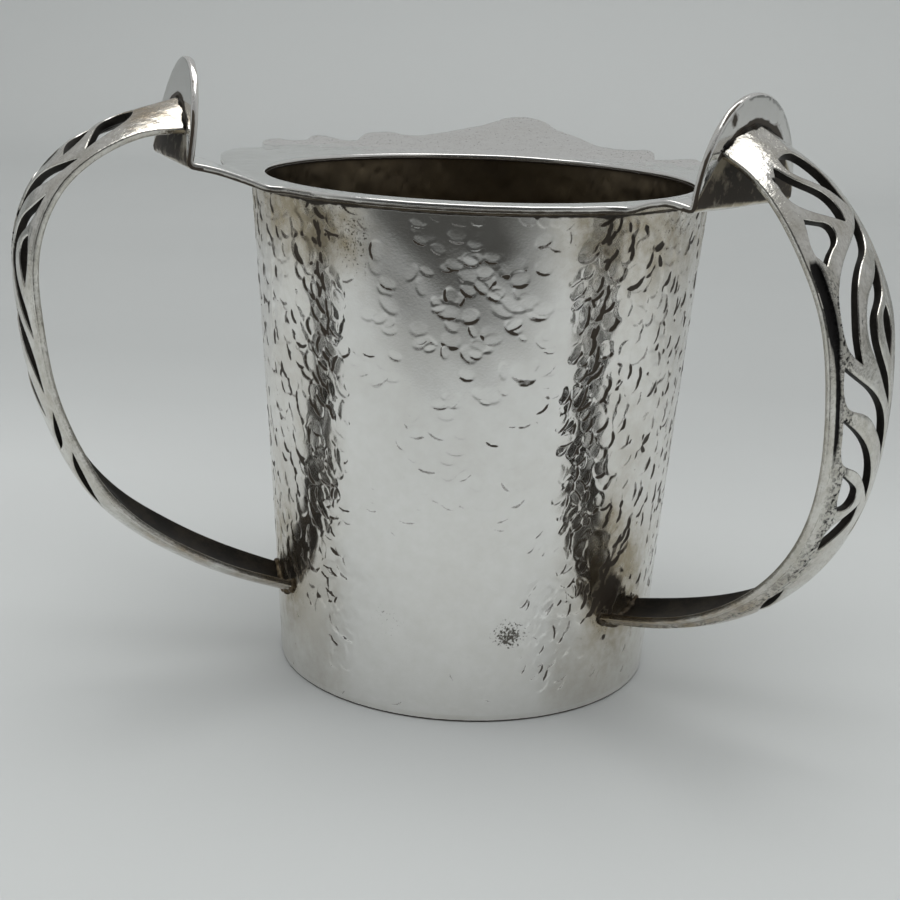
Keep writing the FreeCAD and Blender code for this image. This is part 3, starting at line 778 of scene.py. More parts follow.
class Nodes:
    """Short-hand for building one material's nodes."""

    def __init__(self, name: str) -> None:
        """Start a material with only its output and surface shader."""
        self.material = bpy.data.materials.new(name)
        self.material.use_nodes = True
        self.tree = self.material.node_tree
        self.surface = next(n for n in self.tree.nodes if n.type == "BSDF_PRINCIPLED")
        place = self.tree.nodes.new("ShaderNodeTexCoord")
        self.room = place.outputs["Object"]

    def node(self, kind: str, **values: object) -> bpy.types.Node:
        """New node with properties and socket values.

        Args:
            kind: Type of the node without its prefix.
            **values: Property or socket values; spaces in socket names are written as _.

        Returns:
            The node.
        """
        node = self.tree.nodes.new("ShaderNode" + kind)
        for key, value in values.items():
            if hasattr(node, key):
                setattr(node, key, value)
            else:
                self.join(value, node.inputs[key.replace("_", " ")])
        return node

    def join(self, value: object, socket: Socket) -> None:
        """Link a socket to another, or set its value."""
        if isinstance(value, Socket):
            self.tree.links.new(value, socket)
        else:
            socket.default_value = value

    def mask(self, name: str) -> Socket:
        """Value of a mask that the mesh carries."""
        return self.node("Attribute", attribute_name=name).outputs["Fac"]

    def noise(self, scale: float, detail: float = 3.0, rough: float = 0.55,
              stretch: Sequence[float] = (1.0, 1.0, 1.0)) -> Socket:
        """Noise over the room, optionally stretched."""
        spread = self.node("Mapping", Vector=self.room)
        spread.inputs["Scale"].default_value = stretch
        return self.node("TexNoise", Scale=scale, Detail=detail, Roughness=rough,
                         Vector=spread.outputs["Vector"]).outputs["Fac"]

    def ramp(self, value: Socket, low: float, high: float) -> Socket:
        """Value stretched so that low becomes 0 and high becomes 1."""
        return self.node("MapRange", Value=value, From_Min=low, From_Max=high).outputs["Result"]

    def maths(self, kind: str, first: object, second: object = 0.0) -> Socket:
        """Sum, product or other operation on two values."""
        node = self.node("Math", operation=kind)
        self.join(first, node.inputs[0])
        self.join(second, node.inputs[1])
        return node.outputs["Value"]

    def plus(self, *values: object) -> Socket:
        """Sum of values."""
        return reduce(partial(self.maths, "ADD"), values)

    def times(self, *values: object) -> Socket:
        """Product of values."""
        return reduce(partial(self.maths, "MULTIPLY"), values)

    def clamped(self, value: Socket) -> Socket:
        """Value kept between 0 and 1."""
        return self.node("Clamp", Value=value).outputs["Result"]

    def mix(self, share: object, first: object, second: object) -> Socket:
        """Colour between two colours."""
        node = self.tree.nodes.new("ShaderNodeMix")
        node.data_type = "RGBA"
        self.join(share, node.inputs["Factor"])
        self.join(first, node.inputs["A"])
        self.join(second, node.inputs["B"])
        return node.outputs["Result"]

    def bump(self, height: Socket, distance: float, strength: float = 1.0,
             under: Socket | None = None) -> Socket:
        """Normal that a height gives, on top of another normal."""
        node = self.node("Bump", Height=height, Distance=distance, Strength=strength)
        if under is not None:
            self.join(under, node.inputs["Normal"])
        return node.outputs["Normal"]

    def finish(self, **sockets: object) -> bpy.types.Material:
        """Join the surface shader's sockets and return the material."""
        for key, value in sockets.items():
            self.join(value, self.surface.inputs[key.replace("_", " ")])
        return self.material


def fill_ramp(ramp: bpy.types.Node, shades: Sequence[tuple[float, float]],
              tint: Sequence[float]) -> None:
    """Give a colour ramp its stops: places with their brightness, all in one tint."""
    stops = ramp.color_ramp.elements
    while len(stops) < len(shades):
        stops.new(0.5)
    for stop, (place, shade) in zip(stops, shades):
        stop.position = place
        stop.color = (*(shade * part for part in tint), 1.0)


def grey(value: float, warmth: float = 0.0) -> Colour:
    """Colour of one brightness, warmed by taking away blue."""
    return (value * (1.0 + warmth * 0.3), value, value * (1.0 - warmth), 1.0)


@dataclass(frozen=True)
class Silver:
    """Worn silver-coloured metal with brown tarnish, near black where soot sits in its hollows and
    where shade, shadow and reflections are painted.
    """

    name: str
    clean: float = 0.88
    warmth: float = 0.02
    roughness: float = 0.07
    spread: float = 0.07
    grain: float = 0.00002
    tarnish: Colour = (0.40, 0.345, 0.25, 1.0)
    soot: Colour = (0.040, 0.031, 0.022, 1.0)

    def material(self) -> bpy.types.Material:
        """Build the material."""
        nodes = Nodes(self.name)
        patches, spots = nodes.noise(55.0, 4.0, 0.6), nodes.noise(420.0, 3.0, 0.65)
        fine, dots = nodes.noise(2200.0, 2.0, 0.6), nodes.noise(2100.0, 2.0, 0.6)
        scratches = nodes.noise(900.0, 2.0, 0.5, (1.0, 1.0, 0.12))
        speck_mask, half_spots = nodes.mask("specks"), nodes.times(spots, 0.5)
        brown = nodes.times(nodes.mask("tarnish"),
                            nodes.ramp(nodes.plus(patches, half_spots), 0.38, 0.88))
        film = nodes.times(nodes.ramp(patches, 0.5, 0.75), 0.07)
        brown = nodes.clamped(nodes.plus(brown, film))
        speckled = nodes.plus(dots, nodes.times(speck_mask, 0.20))
        specks = nodes.times(nodes.ramp(speckled, 0.72, 0.84), nodes.ramp(speck_mask, 0.02, 0.2))
        # Painted shade on the lower half of the sheet's edges is added to the near-black mask,
        # which also holds soot.
        edge = nodes.times(nodes.mask("edge_dark"), nodes.ramp(nodes.mask("rim_gap"), 0.12, 0.0))
        soot_and_shade_mask = nodes.plus(nodes.mask("soot"), edge)
        soot = nodes.times(nodes.ramp(nodes.plus(soot_and_shade_mask, half_spots), 0.62, 0.80),
                           nodes.ramp(soot_and_shade_mask, 0.02, 0.20))
        bright = nodes.mix(nodes.ramp(spots, 0.3, 0.8), grey(self.clean, self.warmth),
                           grey(self.clean * 0.94, self.warmth * 1.6))
        colour = nodes.mix(brown, bright, self.tarnish)
        colour = nodes.mix(nodes.times(specks, 0.9), colour, (0.05, 0.040, 0.028, 1.0))
        colour = nodes.mix(soot, colour, self.soot)
        wear_and_fade = nodes.times(nodes.ramp(patches, 0.35, 0.75), self.spread)
        rough = nodes.plus(self.roughness, wear_and_fade, nodes.times(brown, 0.18),
                           nodes.times(soot, 0.35))
        normal = nodes.bump(fine, self.grain, 0.35)
        normal = nodes.bump(scratches, self.grain, 0.25, normal)
        metal = nodes.maths("SUBTRACT", 1.0, nodes.times(soot, 0.75))
        return nodes.finish(Base_Color=colour, Metallic=metal, Roughness=rough, Normal=normal)


@dataclass(frozen=True)
class CastMetal:
    """Cast metal of the handles: bright where it is rubbed, grey and pitted on its rib."""

    name: str
    clean: float = 0.76
    pit_depth: float = 0.00018

    def material(self) -> bpy.types.Material:
        """Build the material."""
        nodes = Nodes(self.name)
        patches, lumps = nodes.noise(90.0, 4.0, 0.6), nodes.noise(260.0, 3.0, 0.6)
        grit, fine = nodes.noise(1400.0, 3.0, 0.7), nodes.noise(2400.0, 2.0, 0.6)
        pit_mask = nodes.mask("pitted")
        pits = nodes.times(nodes.plus(pit_mask, 0.10), nodes.ramp(grit, 0.50, 0.60))
        brown = nodes.times(nodes.mask("tarnish"), nodes.ramp(patches, 0.4, 0.62))
        # The near-black mask holds soot and the groove's painted reflection.
        soot = nodes.plus(nodes.mask("soot"), nodes.times(lumps, 0.3))
        dark = nodes.clamped(nodes.plus(nodes.ramp(soot, 0.42, 0.66), nodes.times(pits, 1.1)))
        bright = nodes.mix(nodes.ramp(lumps, 0.35, 0.7), grey(self.clean, 0.05),
                           grey(self.clean * 0.74, 0.10))
        colour = nodes.mix(nodes.times(pit_mask, 0.35), bright, grey(0.52, 0.10))
        colour = nodes.mix(brown, colour, (0.40, 0.31, 0.20, 1.0))
        colour = nodes.mix(dark, colour, (0.016, 0.015, 0.015, 1.0))
        rough = nodes.plus(0.12, nodes.times(nodes.ramp(lumps, 0.35, 0.8), 0.16),
                           nodes.times(pit_mask, 0.20))
        normal = nodes.bump(nodes.maths("SUBTRACT", 1.0, pits), self.pit_depth, 0.7)
        normal = nodes.bump(lumps, 0.00035, 0.8, normal)
        normal = nodes.bump(fine, 0.00002, 0.3, normal)
        return nodes.finish(Base_Color=colour, Metallic=1.0, Roughness=rough, Normal=normal)


@dataclass(frozen=True)
class Oxide:
    """Dark brown oxide of cut walls, hollows and undersides."""

    name: str
    dark: Colour = (0.018, 0.016, 0.014, 1.0)
    light: Colour = (0.16, 0.125, 0.085, 1.0)
    low: float = 0.42
    high: float = 0.72
    roughness: float = 0.42
    metallic: float = 0.85

    def material(self) -> bpy.types.Material:
        """Build the material."""
        nodes = Nodes(self.name)
        patches, spots = nodes.noise(160.0, 4.0, 0.65), nodes.noise(1100.0, 3.0, 0.7)
        both = nodes.plus(nodes.times(patches, 0.65), nodes.times(spots, 0.35))
        colour = nodes.mix(nodes.ramp(both, self.low, self.high), self.dark, self.light)
        rough = nodes.plus(self.roughness, nodes.times(spots, 0.2))
        return nodes.finish(Base_Color=colour, Metallic=self.metallic, Roughness=rough,
                            Normal=nodes.bump(both, 0.00006, 0.6))


@dataclass(frozen=True)
class Gilt:
    """Warm brown-gold inside of the cup with soft planishing marks."""

    name: str

    def material(self) -> bpy.types.Material:
        """Build the material."""
        nodes = Nodes(self.name)
        patches = nodes.noise(70.0, 4.0, 0.6)
        cells = nodes.node("TexVoronoi", Scale=240.0, feature="SMOOTH_F1", Vector=nodes.room)
        colour = nodes.mix(nodes.ramp(patches, 0.3, 0.75), (0.13, 0.105, 0.075, 1.0),
                           (0.24, 0.19, 0.12, 1.0))
        rough = nodes.plus(0.22, nodes.times(patches, 0.22))
        normal = nodes.bump(cells.outputs["Distance"], 0.0006, 0.35)
        return nodes.finish(Base_Color=colour, Metallic=1.0, Roughness=rough, Normal=normal)


@dataclass(frozen=True)
class SolderMetal:
    """Yellow-brown solder with dark flux at its edges."""

    name: str
    bright: Colour = (0.46, 0.38, 0.22, 1.0)
    dark: Colour = (0.07, 0.052, 0.034, 1.0)

    def material(self) -> bpy.types.Material:
        """Build the material."""
        nodes = Nodes(self.name)
        patches = nodes.noise(380.0, 4.0, 0.65)
        fine = nodes.noise(1500.0, 3.0, 0.6)
        colour = nodes.mix(nodes.ramp(patches, 0.38, 0.62), self.dark, self.bright)
        rough = nodes.plus(0.38, nodes.times(fine, 0.25))
        normal = nodes.bump(patches, 0.0003, 0.6)
        return nodes.finish(Base_Color=colour, Metallic=0.9, Roughness=rough, Normal=normal)


@dataclass(frozen=True)
class TableTop:
    """Pale paper of the table, with painted light and shade: a little darker towards the back and
    lighter again at the backdrop.
    """

    name: str
    # Painted light and shade: brightness by the distance back, in metres.
    shades: tuple[tuple[float, float], ...] = ((-0.17, 0.43), (0.00, 0.495), (0.10, 0.475),
                                               (0.145, 0.43), (0.185, 0.40), (0.26, 0.375),
                                               (0.50, 0.39), (1.15, 0.505))
    dark_front: bool = False
    roughness: float = 0.6

    def material(self) -> bpy.types.Material:
        """Build the material."""
        nodes = Nodes(self.name)
        # Soft blotches of painted light.
        soft = nodes.noise(6.0, 3.0, 0.5)
        split = nodes.node("SeparateXYZ", Vector=nodes.room)
        low, high = self.shades[0][0], self.shades[-1][0]
        back = nodes.ramp(split.outputs["Y"], low, high)
        ramp = nodes.node("ValToRGB", Fac=back)
        fill_ramp(ramp, [((place - low) / (high - low), shade) for place, shade in self.shades],
                  (0.965, 1.0, 0.993))
        colour = nodes.mix(nodes.times(nodes.ramp(soft, 0.3, 0.7), 0.03), ramp.outputs["Color"],
                           (0.75, 0.75, 0.75, 1.0))
        # Near black in the card's middle: a painted dark reflection of the dim room in front.
        if self.dark_front:
            away = nodes.maths("ABSOLUTE", nodes.plus(split.outputs["X"], 0.05))
            dark = nodes.times(nodes.ramp(split.outputs["Y"], -0.19, -0.32),
                               nodes.ramp(away, 0.42, 0.20))
            colour = nodes.mix(dark, colour, (0.045, 0.045, 0.042, 1.0))
        return nodes.finish(Base_Color=colour, Roughness=self.roughness, Specular_IOR_Level=0.2)


# The bowl

@dataclass
class Bowl:
    """Tapered wall, floor disc and their seams."""

    sizes: CupSizes = CUP
    fine_step: float = 0.25
    coarse_step: float = 0.55
    fine_turn: float = 85.0
    blow_area: float = 3.9
    stain_radius: float = 42.0
    marks: HammerMarks = field(init=False)

    def __post_init__(self) -> None:
        """Hammer the wall's outside."""
        round_length = TURN * self.sizes.top_radius
        self.marks = HammerMarks((0.0, 0.0), (round_length, self.sizes.height), 7, wraps=True)
        self.round_length = float(self.marks.span[0])
        self._hammer()

    def _blow(self, turn: float, level: float) -> Blow:
        """How the wall is struck at a place.

        Args:
            turn: Angle from the front towards the right in degrees.
            level: Height on the wall.

        Returns:
            The kind of blow there.
        """
        random = self.marks.random
        turn = wrapped(turn)
        aside = abs(turn - FRONT_TURN)
        lean, tilt = random.normal(-1.75, 0.40), random.uniform(0.8, 1.0)
        # Each blow's dark crescent is partly oxide, partly painted shade of its steep edge.
        oxide_and_shade = random.uniform(0, 1)
        if turn > 27.0:
            lean = random.normal(-0.45, 0.40)
        elif turn < -24.0:
            lean = random.normal(-2.6, 0.5)
        radius, depth = random.normal(2.05, 0.3), random.normal(0.13, 0.03)
        if level < 7.0 or (level < 20.0 and aside > 36.0):  # The foot.
            return Blow(0.30, random.normal(1.8, 0.2), depth * 0.5, tilt, lean, 0.75 * oxide_and_shade)
        # Painted reflections of the two handles: deeper blows with dark crescents along two
        # streaks.
        if (abs(turn + 32.0) < 4.0 or abs(turn - 39.5) < 4.5) and level > 20.0:  # Dark streaks.
            return Blow(1.0, random.normal(1.9, 0.25), depth * 1.35, 0.6, lean,
                        0.8 + 0.5 * oxide_and_shade)
        if aside > 28.0:  # The sides and the back.
            low = float(smooth_step(level, 20.0, 45.0))
            return Blow(0.85, radius + 0.25, depth * 1.25, tilt, lean,
                        0.25 + 0.15 * low + 0.75 * oxide_and_shade)
        if level > 58.0:  # The upper front, deepest right of its middle.
            deep = hump(turn - 9.0, 13.0) * hump(level - 83.0, 12.0)
            return Blow(0.26 + 0.26 * deep, random.normal(2.0, 0.35), depth * (0.20 + 0.20 * deep),
                        tilt, lean + random.normal(0.0, 0.35),
                        (0.75 + 0.55 * deep) * (0.35 + oxide_and_shade))
        if turn > 24.0 and level < 40.0:  # The lower right.
            return Blow(0.70, random.normal(1.6, 0.2), depth * 0.8, tilt,
                        random.normal(-0.5, 0.4), 0.9 * oxide_and_shade)
        if turn > 11.0 and level < 40.0:
            return Blow(0.35, random.normal(1.7, 0.2), depth * 0.45, tilt,
                        random.normal(-0.5, 0.4), 0.3)
        if turn < -17.0 and level < 50.0:  # The lower left.
            return Blow(0.50, random.normal(1.8, 0.2), depth * 0.5, tilt,
                        random.normal(-0.3, 0.4), 0.4 * oxide_and_shade)
        if level > 38.0:  # The nearly smooth middle and the lower front.
            return Blow(0.32, random.normal(2.2, 0.4), 0.036, tilt, lean, 0.30 + 0.45 * oxide_and_shade)
        return Blow(0.22, random.normal(2.2, 0.4), 0.030, tilt, lean, 0.60 * oxide_and_shade)

    def _hammer(self) -> None:
        """Strike the wall all round, leaving the lower front nearly smooth."""
        random = self.marks.random
        for _ in range(int(self.round_length * self.sizes.height / self.blow_area)):
            across, level = random.uniform(0.0, self.round_length), random.uniform(0.5, 99.5)
            turn = across / self.round_length * 360.0
            blow = self._blow(turn, level)
            squash, lands = random.uniform(0.52, 0.85), random.uniform() < blow.share
            if abs(wrapped(turn - FRONT_TURN)) > 38.0:
                squash += 0.35
            if lands:
                self.marks.strike(np.array([across, level]), max(blow.radius, 1.0),
                                  max(blow.depth, 0.01), blow.tilt, blow.lean, squash, blow.oxide_and_shade)
        self.marks.wave(0.035, (9.0, 20.0))

    def _places(self, turns: Points, level: float) -> Points:
        """Places of a ring of the wall on the map of the hammer marks."""
        return np.stack([turns * self.round_length % self.round_length,
                         np.full(len(turns), level)], axis=1)

    def _columns(self) -> Points:
        """Turns of the wall's mesh columns as shares: fine in front and coarser behind."""
        front = math.radians(self.fine_turn) * self.sizes.top_radius
        behind = self.round_length / 2.0 - front
        fine = np.linspace(-front, front, int(2.0 * front / self.fine_step), endpoint=False)
        coarse = np.linspace(front, front + 2.0 * behind, int(2.0 * behind / self.coarse_step),
                             endpoint=False)
        return np.concatenate([fine, coarse]) / self.round_length

    def _ring(self, turns: Points, level: float, inward: float,
              struck: float) -> tuple[Points, Points]:
        """One ring of the wall and its normals.

        Args:
            turns: Shares of a full turn.
            level: Height of the ring.
            inward: Depth under the outer face.
            struck: Share of the hammer marks that show.

        Returns:
            Points and outward normals.
        """
        sizes = self.sizes
        places = self._places(turns, level)
        base = float(sizes.wall_radius(level))
        radius = base - inward + self.marks.sample(places) * struck
        across, upward = self.marks.slopes(places)
        angle = turns * TURN
        out = outward(angle)
        round_way = np.stack([np.cos(angle), np.sin(angle), np.zeros(len(turns))], axis=1)
        rise = float(sizes.wall_radius(level + 0.5)) - float(sizes.wall_radius(level - 0.5))
        normal = out - round_way * (across * struck * sizes.top_radius / base)[:, None]
        normal[:, 2] -= rise + upward * struck
        points = out * radius[:, None]
        points[:, 2] = level
        return points, unit(normal)

    def wall_piece(self, finishes: Sequence[bpy.types.Material]) -> bpy.types.Object:
        """Build the wall with its hammered outside and quieter inside.

        Args:
            finishes: Outside and inside materials.

        Returns:
            The wall.
        """
        sizes = self.sizes
        turns, build, normals = self._columns(), Build("cup_wall_hammered"), []

        def ring(level: float, inward: float, struck: float, **masks: Points) -> Points:
            points, normal = self._ring(turns, level, inward, struck)
            normals.append(normal if inward == 0.0 else -normal)
            return build.row(points, **masks)

        outside = []
        for level in np.linspace(sizes.floor, sizes.height,
                                 int((sizes.height - sizes.floor) / self.fine_step)).tolist():
            fade = float(smooth_step(min(level - sizes.floor, sizes.height - level), 0.0, 1.2))
            outside.append(ring(level, 0.0, fade, **self._wall_masks(turns, level)))
        inside = [ring(level, sizes.wall, 0.3, tarnish=0.0, soot=0.0)
                  for level in np.linspace(sizes.floor, sizes.height, 80).tolist()]
        build.skin(outside, 0)
        build.skin([outside[-1], *inside[::-1], outside[0]], 1)
        return build.done(finishes, ALL_SMOOTH, np.concatenate(normals))

    def _wall_masks(self, turns: Points, level: float) -> dict[str, Points]:
        """Tarnish, specks and soot of one ring of the wall, with painted shade: the marks'
        crescents in part, the handles' reflections as dark streaks, and a shadow just under the
        rim plate.
        """
        turn, below = wrapped(turns * 360.0), self.sizes.height - level
        aside = np.abs(turn - FRONT_TURN)
        under_rim = ((1.0 - smooth_step(below, 2.0, 20.0))
                     * (0.15 + 0.85 * smooth_step(aside, 14.0, 34.0)))
        # Painted reflections of the two handles, as dark streaks.
        streaks = hump(turn + 32.0, 3.2) + hump(turn - 39.5, 3.6)
        oxide_and_shade = self.marks.sample(self._places(turns, level), self.marks.oxide_and_shade)
        # The near-black line in the top 1.7 mm is painted shadow under the rim plate.
        masks = {"tarnish": 0.06 + 0.26 * smooth_step(aside, 26.0, 34.0) + 0.9 * under_rim,
                 "soot": 0.64 * oxide_and_shade + 0.40 * streaks * smooth_step(level, 50.0, 70.0)
                 + 0.8 * (1.0 - smooth_step(below, 0.3, 1.7)),
                 "specks": 0.45 * under_rim}
        for stain in WALL_STAINS:
            arc = np.radians(turn - stain.place) * self.stain_radius
            masks[stain.mask] = masks[stain.mask] + stain.weight(arc, level - stain.level)
        return {name: np.clip(values, 0, 2 if name == "specks" else 1)
                for name, values in masks.items()}

    def floor_piece(self, finishes: Sequence[bpy.types.Material]) -> bpy.types.Object:
        """Build the floor disc with a rounded lower edge.

        Args:
            finishes: Outside and inside materials.

        Returns:
            The floor.
        """
        sizes, edge = self.sizes, self.sizes.foot_radius
        out = outward(np.arange(360) / 360 * TURN)
        build = Build("cup_floor_disc")
        profile = [(0.02, 0.0), (edge * 0.5, 0.0), (edge - 0.9, 0.0), (edge - 0.40, 0.08),
                   (edge - 0.16, 0.30), (edge - 0.08, 0.60), (edge, sizes.floor),
                   (edge - sizes.wall, sizes.floor), (edge * 0.5, sizes.floor - 0.05),
                   (0.02, sizes.floor - 0.05)]
        # The lowest ring, where the disc meets the table, is darkened as painted contact shade.
        rows = [build.row(out * radius + (0.0, 0.0, level), tarnish=0.2,
                          soot=0.9 if level < 0.5 else 0.0) for radius, level in profile]
        build.skin(rows[:7], 0)
        build.skin(rows[6:], 1)
        build.fill([rows[0][::-1]], 0)
        build.fill([rows[-1]], 1)
        return build.done(finishes, 30.0)

    def seam_piece(self, name: str, radius: float, level: float, size: float, seed: int,
                   finish: bpy.types.Material) -> bpy.types.Object:
        """Build an uneven bead of solder that runs round the cup.

        Args:
            name: Name of the piece.
            radius: Distance of the bead's middle from the axis.
            level: Height of the bead's middle.
            size: Radius of the bead.
            seed: Start of its unevenness.
            finish: Its material.

        Returns:
            The bead.
        """
        out = outward(np.arange(420) / 420 * TURN)
        up = np.array([0.0, 0.0, 1.0])
        return Bead(name, size, seed, 0.05, range(5, 60, 4)).build(out * radius + up * level,
                                                                  out, up, finish)


# The rim plate

class BentPath:
    """Mid-line of an ear and its lug in radius and height."""

    def __init__(self, ear: EarSizes, sizes: CupSizes, fold: float = 0.75) -> None:
        """Lay out the flat, the ear, the fold and the lug.

        Args:
            ear: Sizes of the ear.
            sizes: Sizes of the cup.
            fold: Radius of the fold's mid-line.
        """
        middle = sizes.height + sizes.plate / 2.0
        climb = Spline(ear.path).sampled(0.2)
        lean = math.radians(ear.lean)
        lug_way = np.array([math.sin(lean), math.cos(lean)])
        lug_start = np.array([ear.reach - sizes.plate / 2.0 / math.cos(lean), ear.fold_level])
        way = unit(climb[-1] - climb[-2])
        run_on, _ = np.linalg.solve(np.stack([way, -lug_way], axis=1), lug_start - climb[-1])
        corner = climb[-1] + way * run_on
        first, last = math.atan2(way[1], way[0]), math.atan2(lug_way[1], lug_way[0])
        start = corner - way * fold * math.tan((last - first) / 2.0)
        hub = start + fold * np.array([-way[1], way[0]])
        turns = np.linspace(first, last, 12)
        bend = hub + fold * np.stack([np.sin(turns), -np.cos(turns)], axis=1)
        rise = bend[-1] + lug_way * np.arange(0.3, ear.lug_height + 6.0, 0.3)[:, None]
        flat = np.array([[reach, middle] for reach in np.arange(0.0, ear.path[0][0], 1.0)])
        self.line = np.concatenate([flat, climb, bend, rise])
        self.run = measured(self.line)
        bend_end = len(flat) + len(climb) + len(bend) - 1
        self.fold_at = float(self.run[bend_end]
                             - (bend[-1][1] - ear.fold_level) / math.cos(lean))
        self.lug_length = ear.lug_height / math.cos(lean) - 0.15
        way = unit(np.gradient(self.line, self.run, axis=0))
        self.normal = np.stack([-way[:, 1], way[:, 0]], axis=1)

    def at(self, distance: Points) -> tuple[Points, Points]:
        """Points and upward normals at distances along the mid-line."""
        return (values_at(self.run, self.line, distance),
                unit(values_at(self.run, self.normal, distance)))


@dataclass
class RimPlate:
    """One sheet with the mouth, the back lip, the ears and the lugs."""

    sizes: CupSizes = CUP
    ears: tuple[EarSizes, EarSizes] = (LEFT_EAR, RIGHT_EAR)
    spacing: float = 0.6
    ear_end: float = 8.0

    def __post_init__(self) -> None:
        """Bend the ears and hammer the sheet."""
        self.paths = {ear.side: BentPath(ear, self.sizes) for ear in self.ears}
        self.marks = HammerMarks((-90.0, -80.0), (90.0, 80.0), 23, cell=0.25)
        random = self.marks.random
        for _ in range(3400):
            centre = np.array([random.uniform(-66.0, 66.0), random.uniform(-50.0, 78.0)])
            radius = float(np.clip(random.normal(2.0, 0.45), 1.1, 3.0))
            self.marks.strike(centre, radius, abs(random.normal(0.10, 0.04)), 0.8,
                              random.uniform(0, PHASES), random.uniform(0.55, 0.95))

    def _axes(self, ear: EarSizes) -> tuple[Points, Points]:
        """Outward and backward directions of an ear, seen from above."""
        angle = math.radians(self.sizes.ear_angle)
        return (np.array([ear.sign * math.sin(angle), -math.cos(angle)]),
                np.array([ear.sign * math.cos(angle), math.sin(angle)]))

    def _arc(self, first: float, last: float) -> Points:
        """Edge of the flange between two angles from the front, in degrees."""
        count = max(2, int(abs(last - first) / 0.9))
        angle = np.radians(np.linspace(first, last, count))
        return np.stack([np.sin(angle), -np.cos(angle)], axis=1) * self.sizes.flange_radius

    def _ear_outline(self, ear: EarSizes) -> tuple[list[Points], float]:
        """Outline of an ear from the lip's wing round the lug to its front corner.

        Args:
            ear: The ear.

        Returns:
            The runs of points, and the angle that the front fillet takes off the flange.
        """
        out, back = self._axes(ear)
        half = ear.width / 2.0
        corner_angle = math.degrees(math.asin(half / self.sizes.flange_radius))
        start = math.sqrt(self.sizes.flange_radius ** 2 - half ** 2)
        path = self.paths[ear.side]
        fillet, trim = 3.2, 3.6

        sign = ear.sign
        hollow = [np.array([sign * reach, level]) for reach, level in
                  ((52.9, -1.4), (52.1, -5.0), (51.4, -8.6), (51.0, -11.0))]
        hollow += [out * 51.6 + back * half + np.array([0.0, 0.25]), out * 52.8 + back * half]
        back_fillet = Spline(hollow, 200).sampled(self.spacing * 0.8)
        angle = sign * (self.sizes.ear_angle - corner_angle - trim)
        first, last = self._arc(angle, angle + 0.1)[0], out * (start + fillet) - back * half
        parts = np.linspace(0.0, 1.0, 9)[:, None]
        front_fillet = (first * (1 - parts) ** 2
                        + 2.0 * (out * start - back * half) * parts * (1 - parts)
                        + last * parts ** 2)[::-1]
        turn = np.linspace(math.pi / 2.0, -math.pi / 2.0, 64)[:, None]
        head = out * (path.fold_at + np.cos(turn) * path.lug_length) + back * (np.sin(turn) * half)
        rear = out * np.arange(53.3, path.fold_at, 0.8)[:, None] + back * half
        front = out * np.arange(path.fold_at, start + fillet, -0.8)[:, None] - back * half
        return [back_fillet, rear, head, front, front_fillet], corner_angle + trim

    def pattern(self) -> Pattern:
        """Flat pattern of the plate."""
        sizes = self.sizes
        scale = np.array([sizes.lip_half_width, sizes.lip_reach])
        runs = [Spline(np.array(run) * scale, 300).sampled(self.spacing * 0.7)
                for run in LIP_RUN_SHARES]
        left, right = self.ears
        right_runs, cut = self._ear_outline(right)
        left_runs, left_cut = self._ear_outline(left)
        base = sizes.ear_angle
        runs += right_runs
        runs.append(self._arc(base - cut, -(base - left_cut)))
        runs += [run[::-1] for run in left_runs[::-1]]
        outline = joined(runs, self.spacing)
        turn = np.linspace(0.0, TURN, 400)[:-1]
        mouth = np.stack([np.cos(turn), np.sin(turn)], axis=1) * sizes.mouth_radius
        return Pattern(outline, [mouth], self.spacing, 0.32)

    def _lip_rise(self, back: Points) -> tuple[Points, Points]:
        """Climb of the back lip's upper face and its slope, by the distance back."""
        sizes = self.sizes
        slope = math.radians(sizes.lip_slope)
        inner = sizes.bend_radius - sizes.plate
        past = back - sizes.bend_start
        edge = inner * math.sin(slope)
        on_bend = inner - np.sqrt(np.maximum(inner ** 2 - np.clip(past, 0.0, edge) ** 2, 0.0))
        rise = on_bend + np.maximum(past - edge, 0.0) * math.tan(slope)
        angle = np.arcsin(np.clip(past, 0.0, edge) / inner)
        return rise, angle

    def place(self, flat: Points, depth: Points) -> Points:
        """Bend places of the pattern into the room.

        Args:
            flat: Places on the pattern.
            depth: Depth under the upper face.

        Returns:
            Places in the room.
        """
        sizes = self.sizes
        upper = sizes.height + sizes.plate
        rise, slope = self._lip_rise(flat[:, 1])
        struck = self.marks.sample(flat) * self._struck_share(flat)
        under = 1.0 - depth / sizes.plate * 0.35
        # Slow waves that the hammer leaves in a thin free sheet.
        wave = (0.22 * np.sin(flat[:, 0] * 0.21 + 1.0) * smooth_step(flat[:, 1], 40.0, 62.0)
                + 0.10 * np.sin(flat[:, 0] * 0.13 + flat[:, 1] * 0.17)
                * smooth_step(np.linalg.norm(flat, axis=1), 46.5, 60.0))
        level = upper + rise - depth / np.cos(slope) + struck * under + wave
        result = np.column_stack([flat[:, 0], flat[:, 1], level])
        for ear in self.ears:
            out, back = self._axes(ear)
            along, across = flat @ out, flat @ back
            half = ear.width / 2.0
            near = 1.0 - smooth_step(np.abs(across), half + 0.2, half + 3.0)
            mine = (along > ear.path[0][0]) & (near > 0.0) & (flat[:, 1] < self.ear_end)
            point, normal = self.paths[ear.side].at(along[mine])
            lift = sizes.plate / 2.0 - depth[mine] + struck[mine] * 0.5
            radial, height = (point + normal * lift[:, None]).T
            there = np.column_stack([
                radial[:, None] * out + across[mine][:, None] * back, height])
            share = near[mine][:, None]
            result[mine] = there * share + result[mine] * (1.0 - share)
        return result

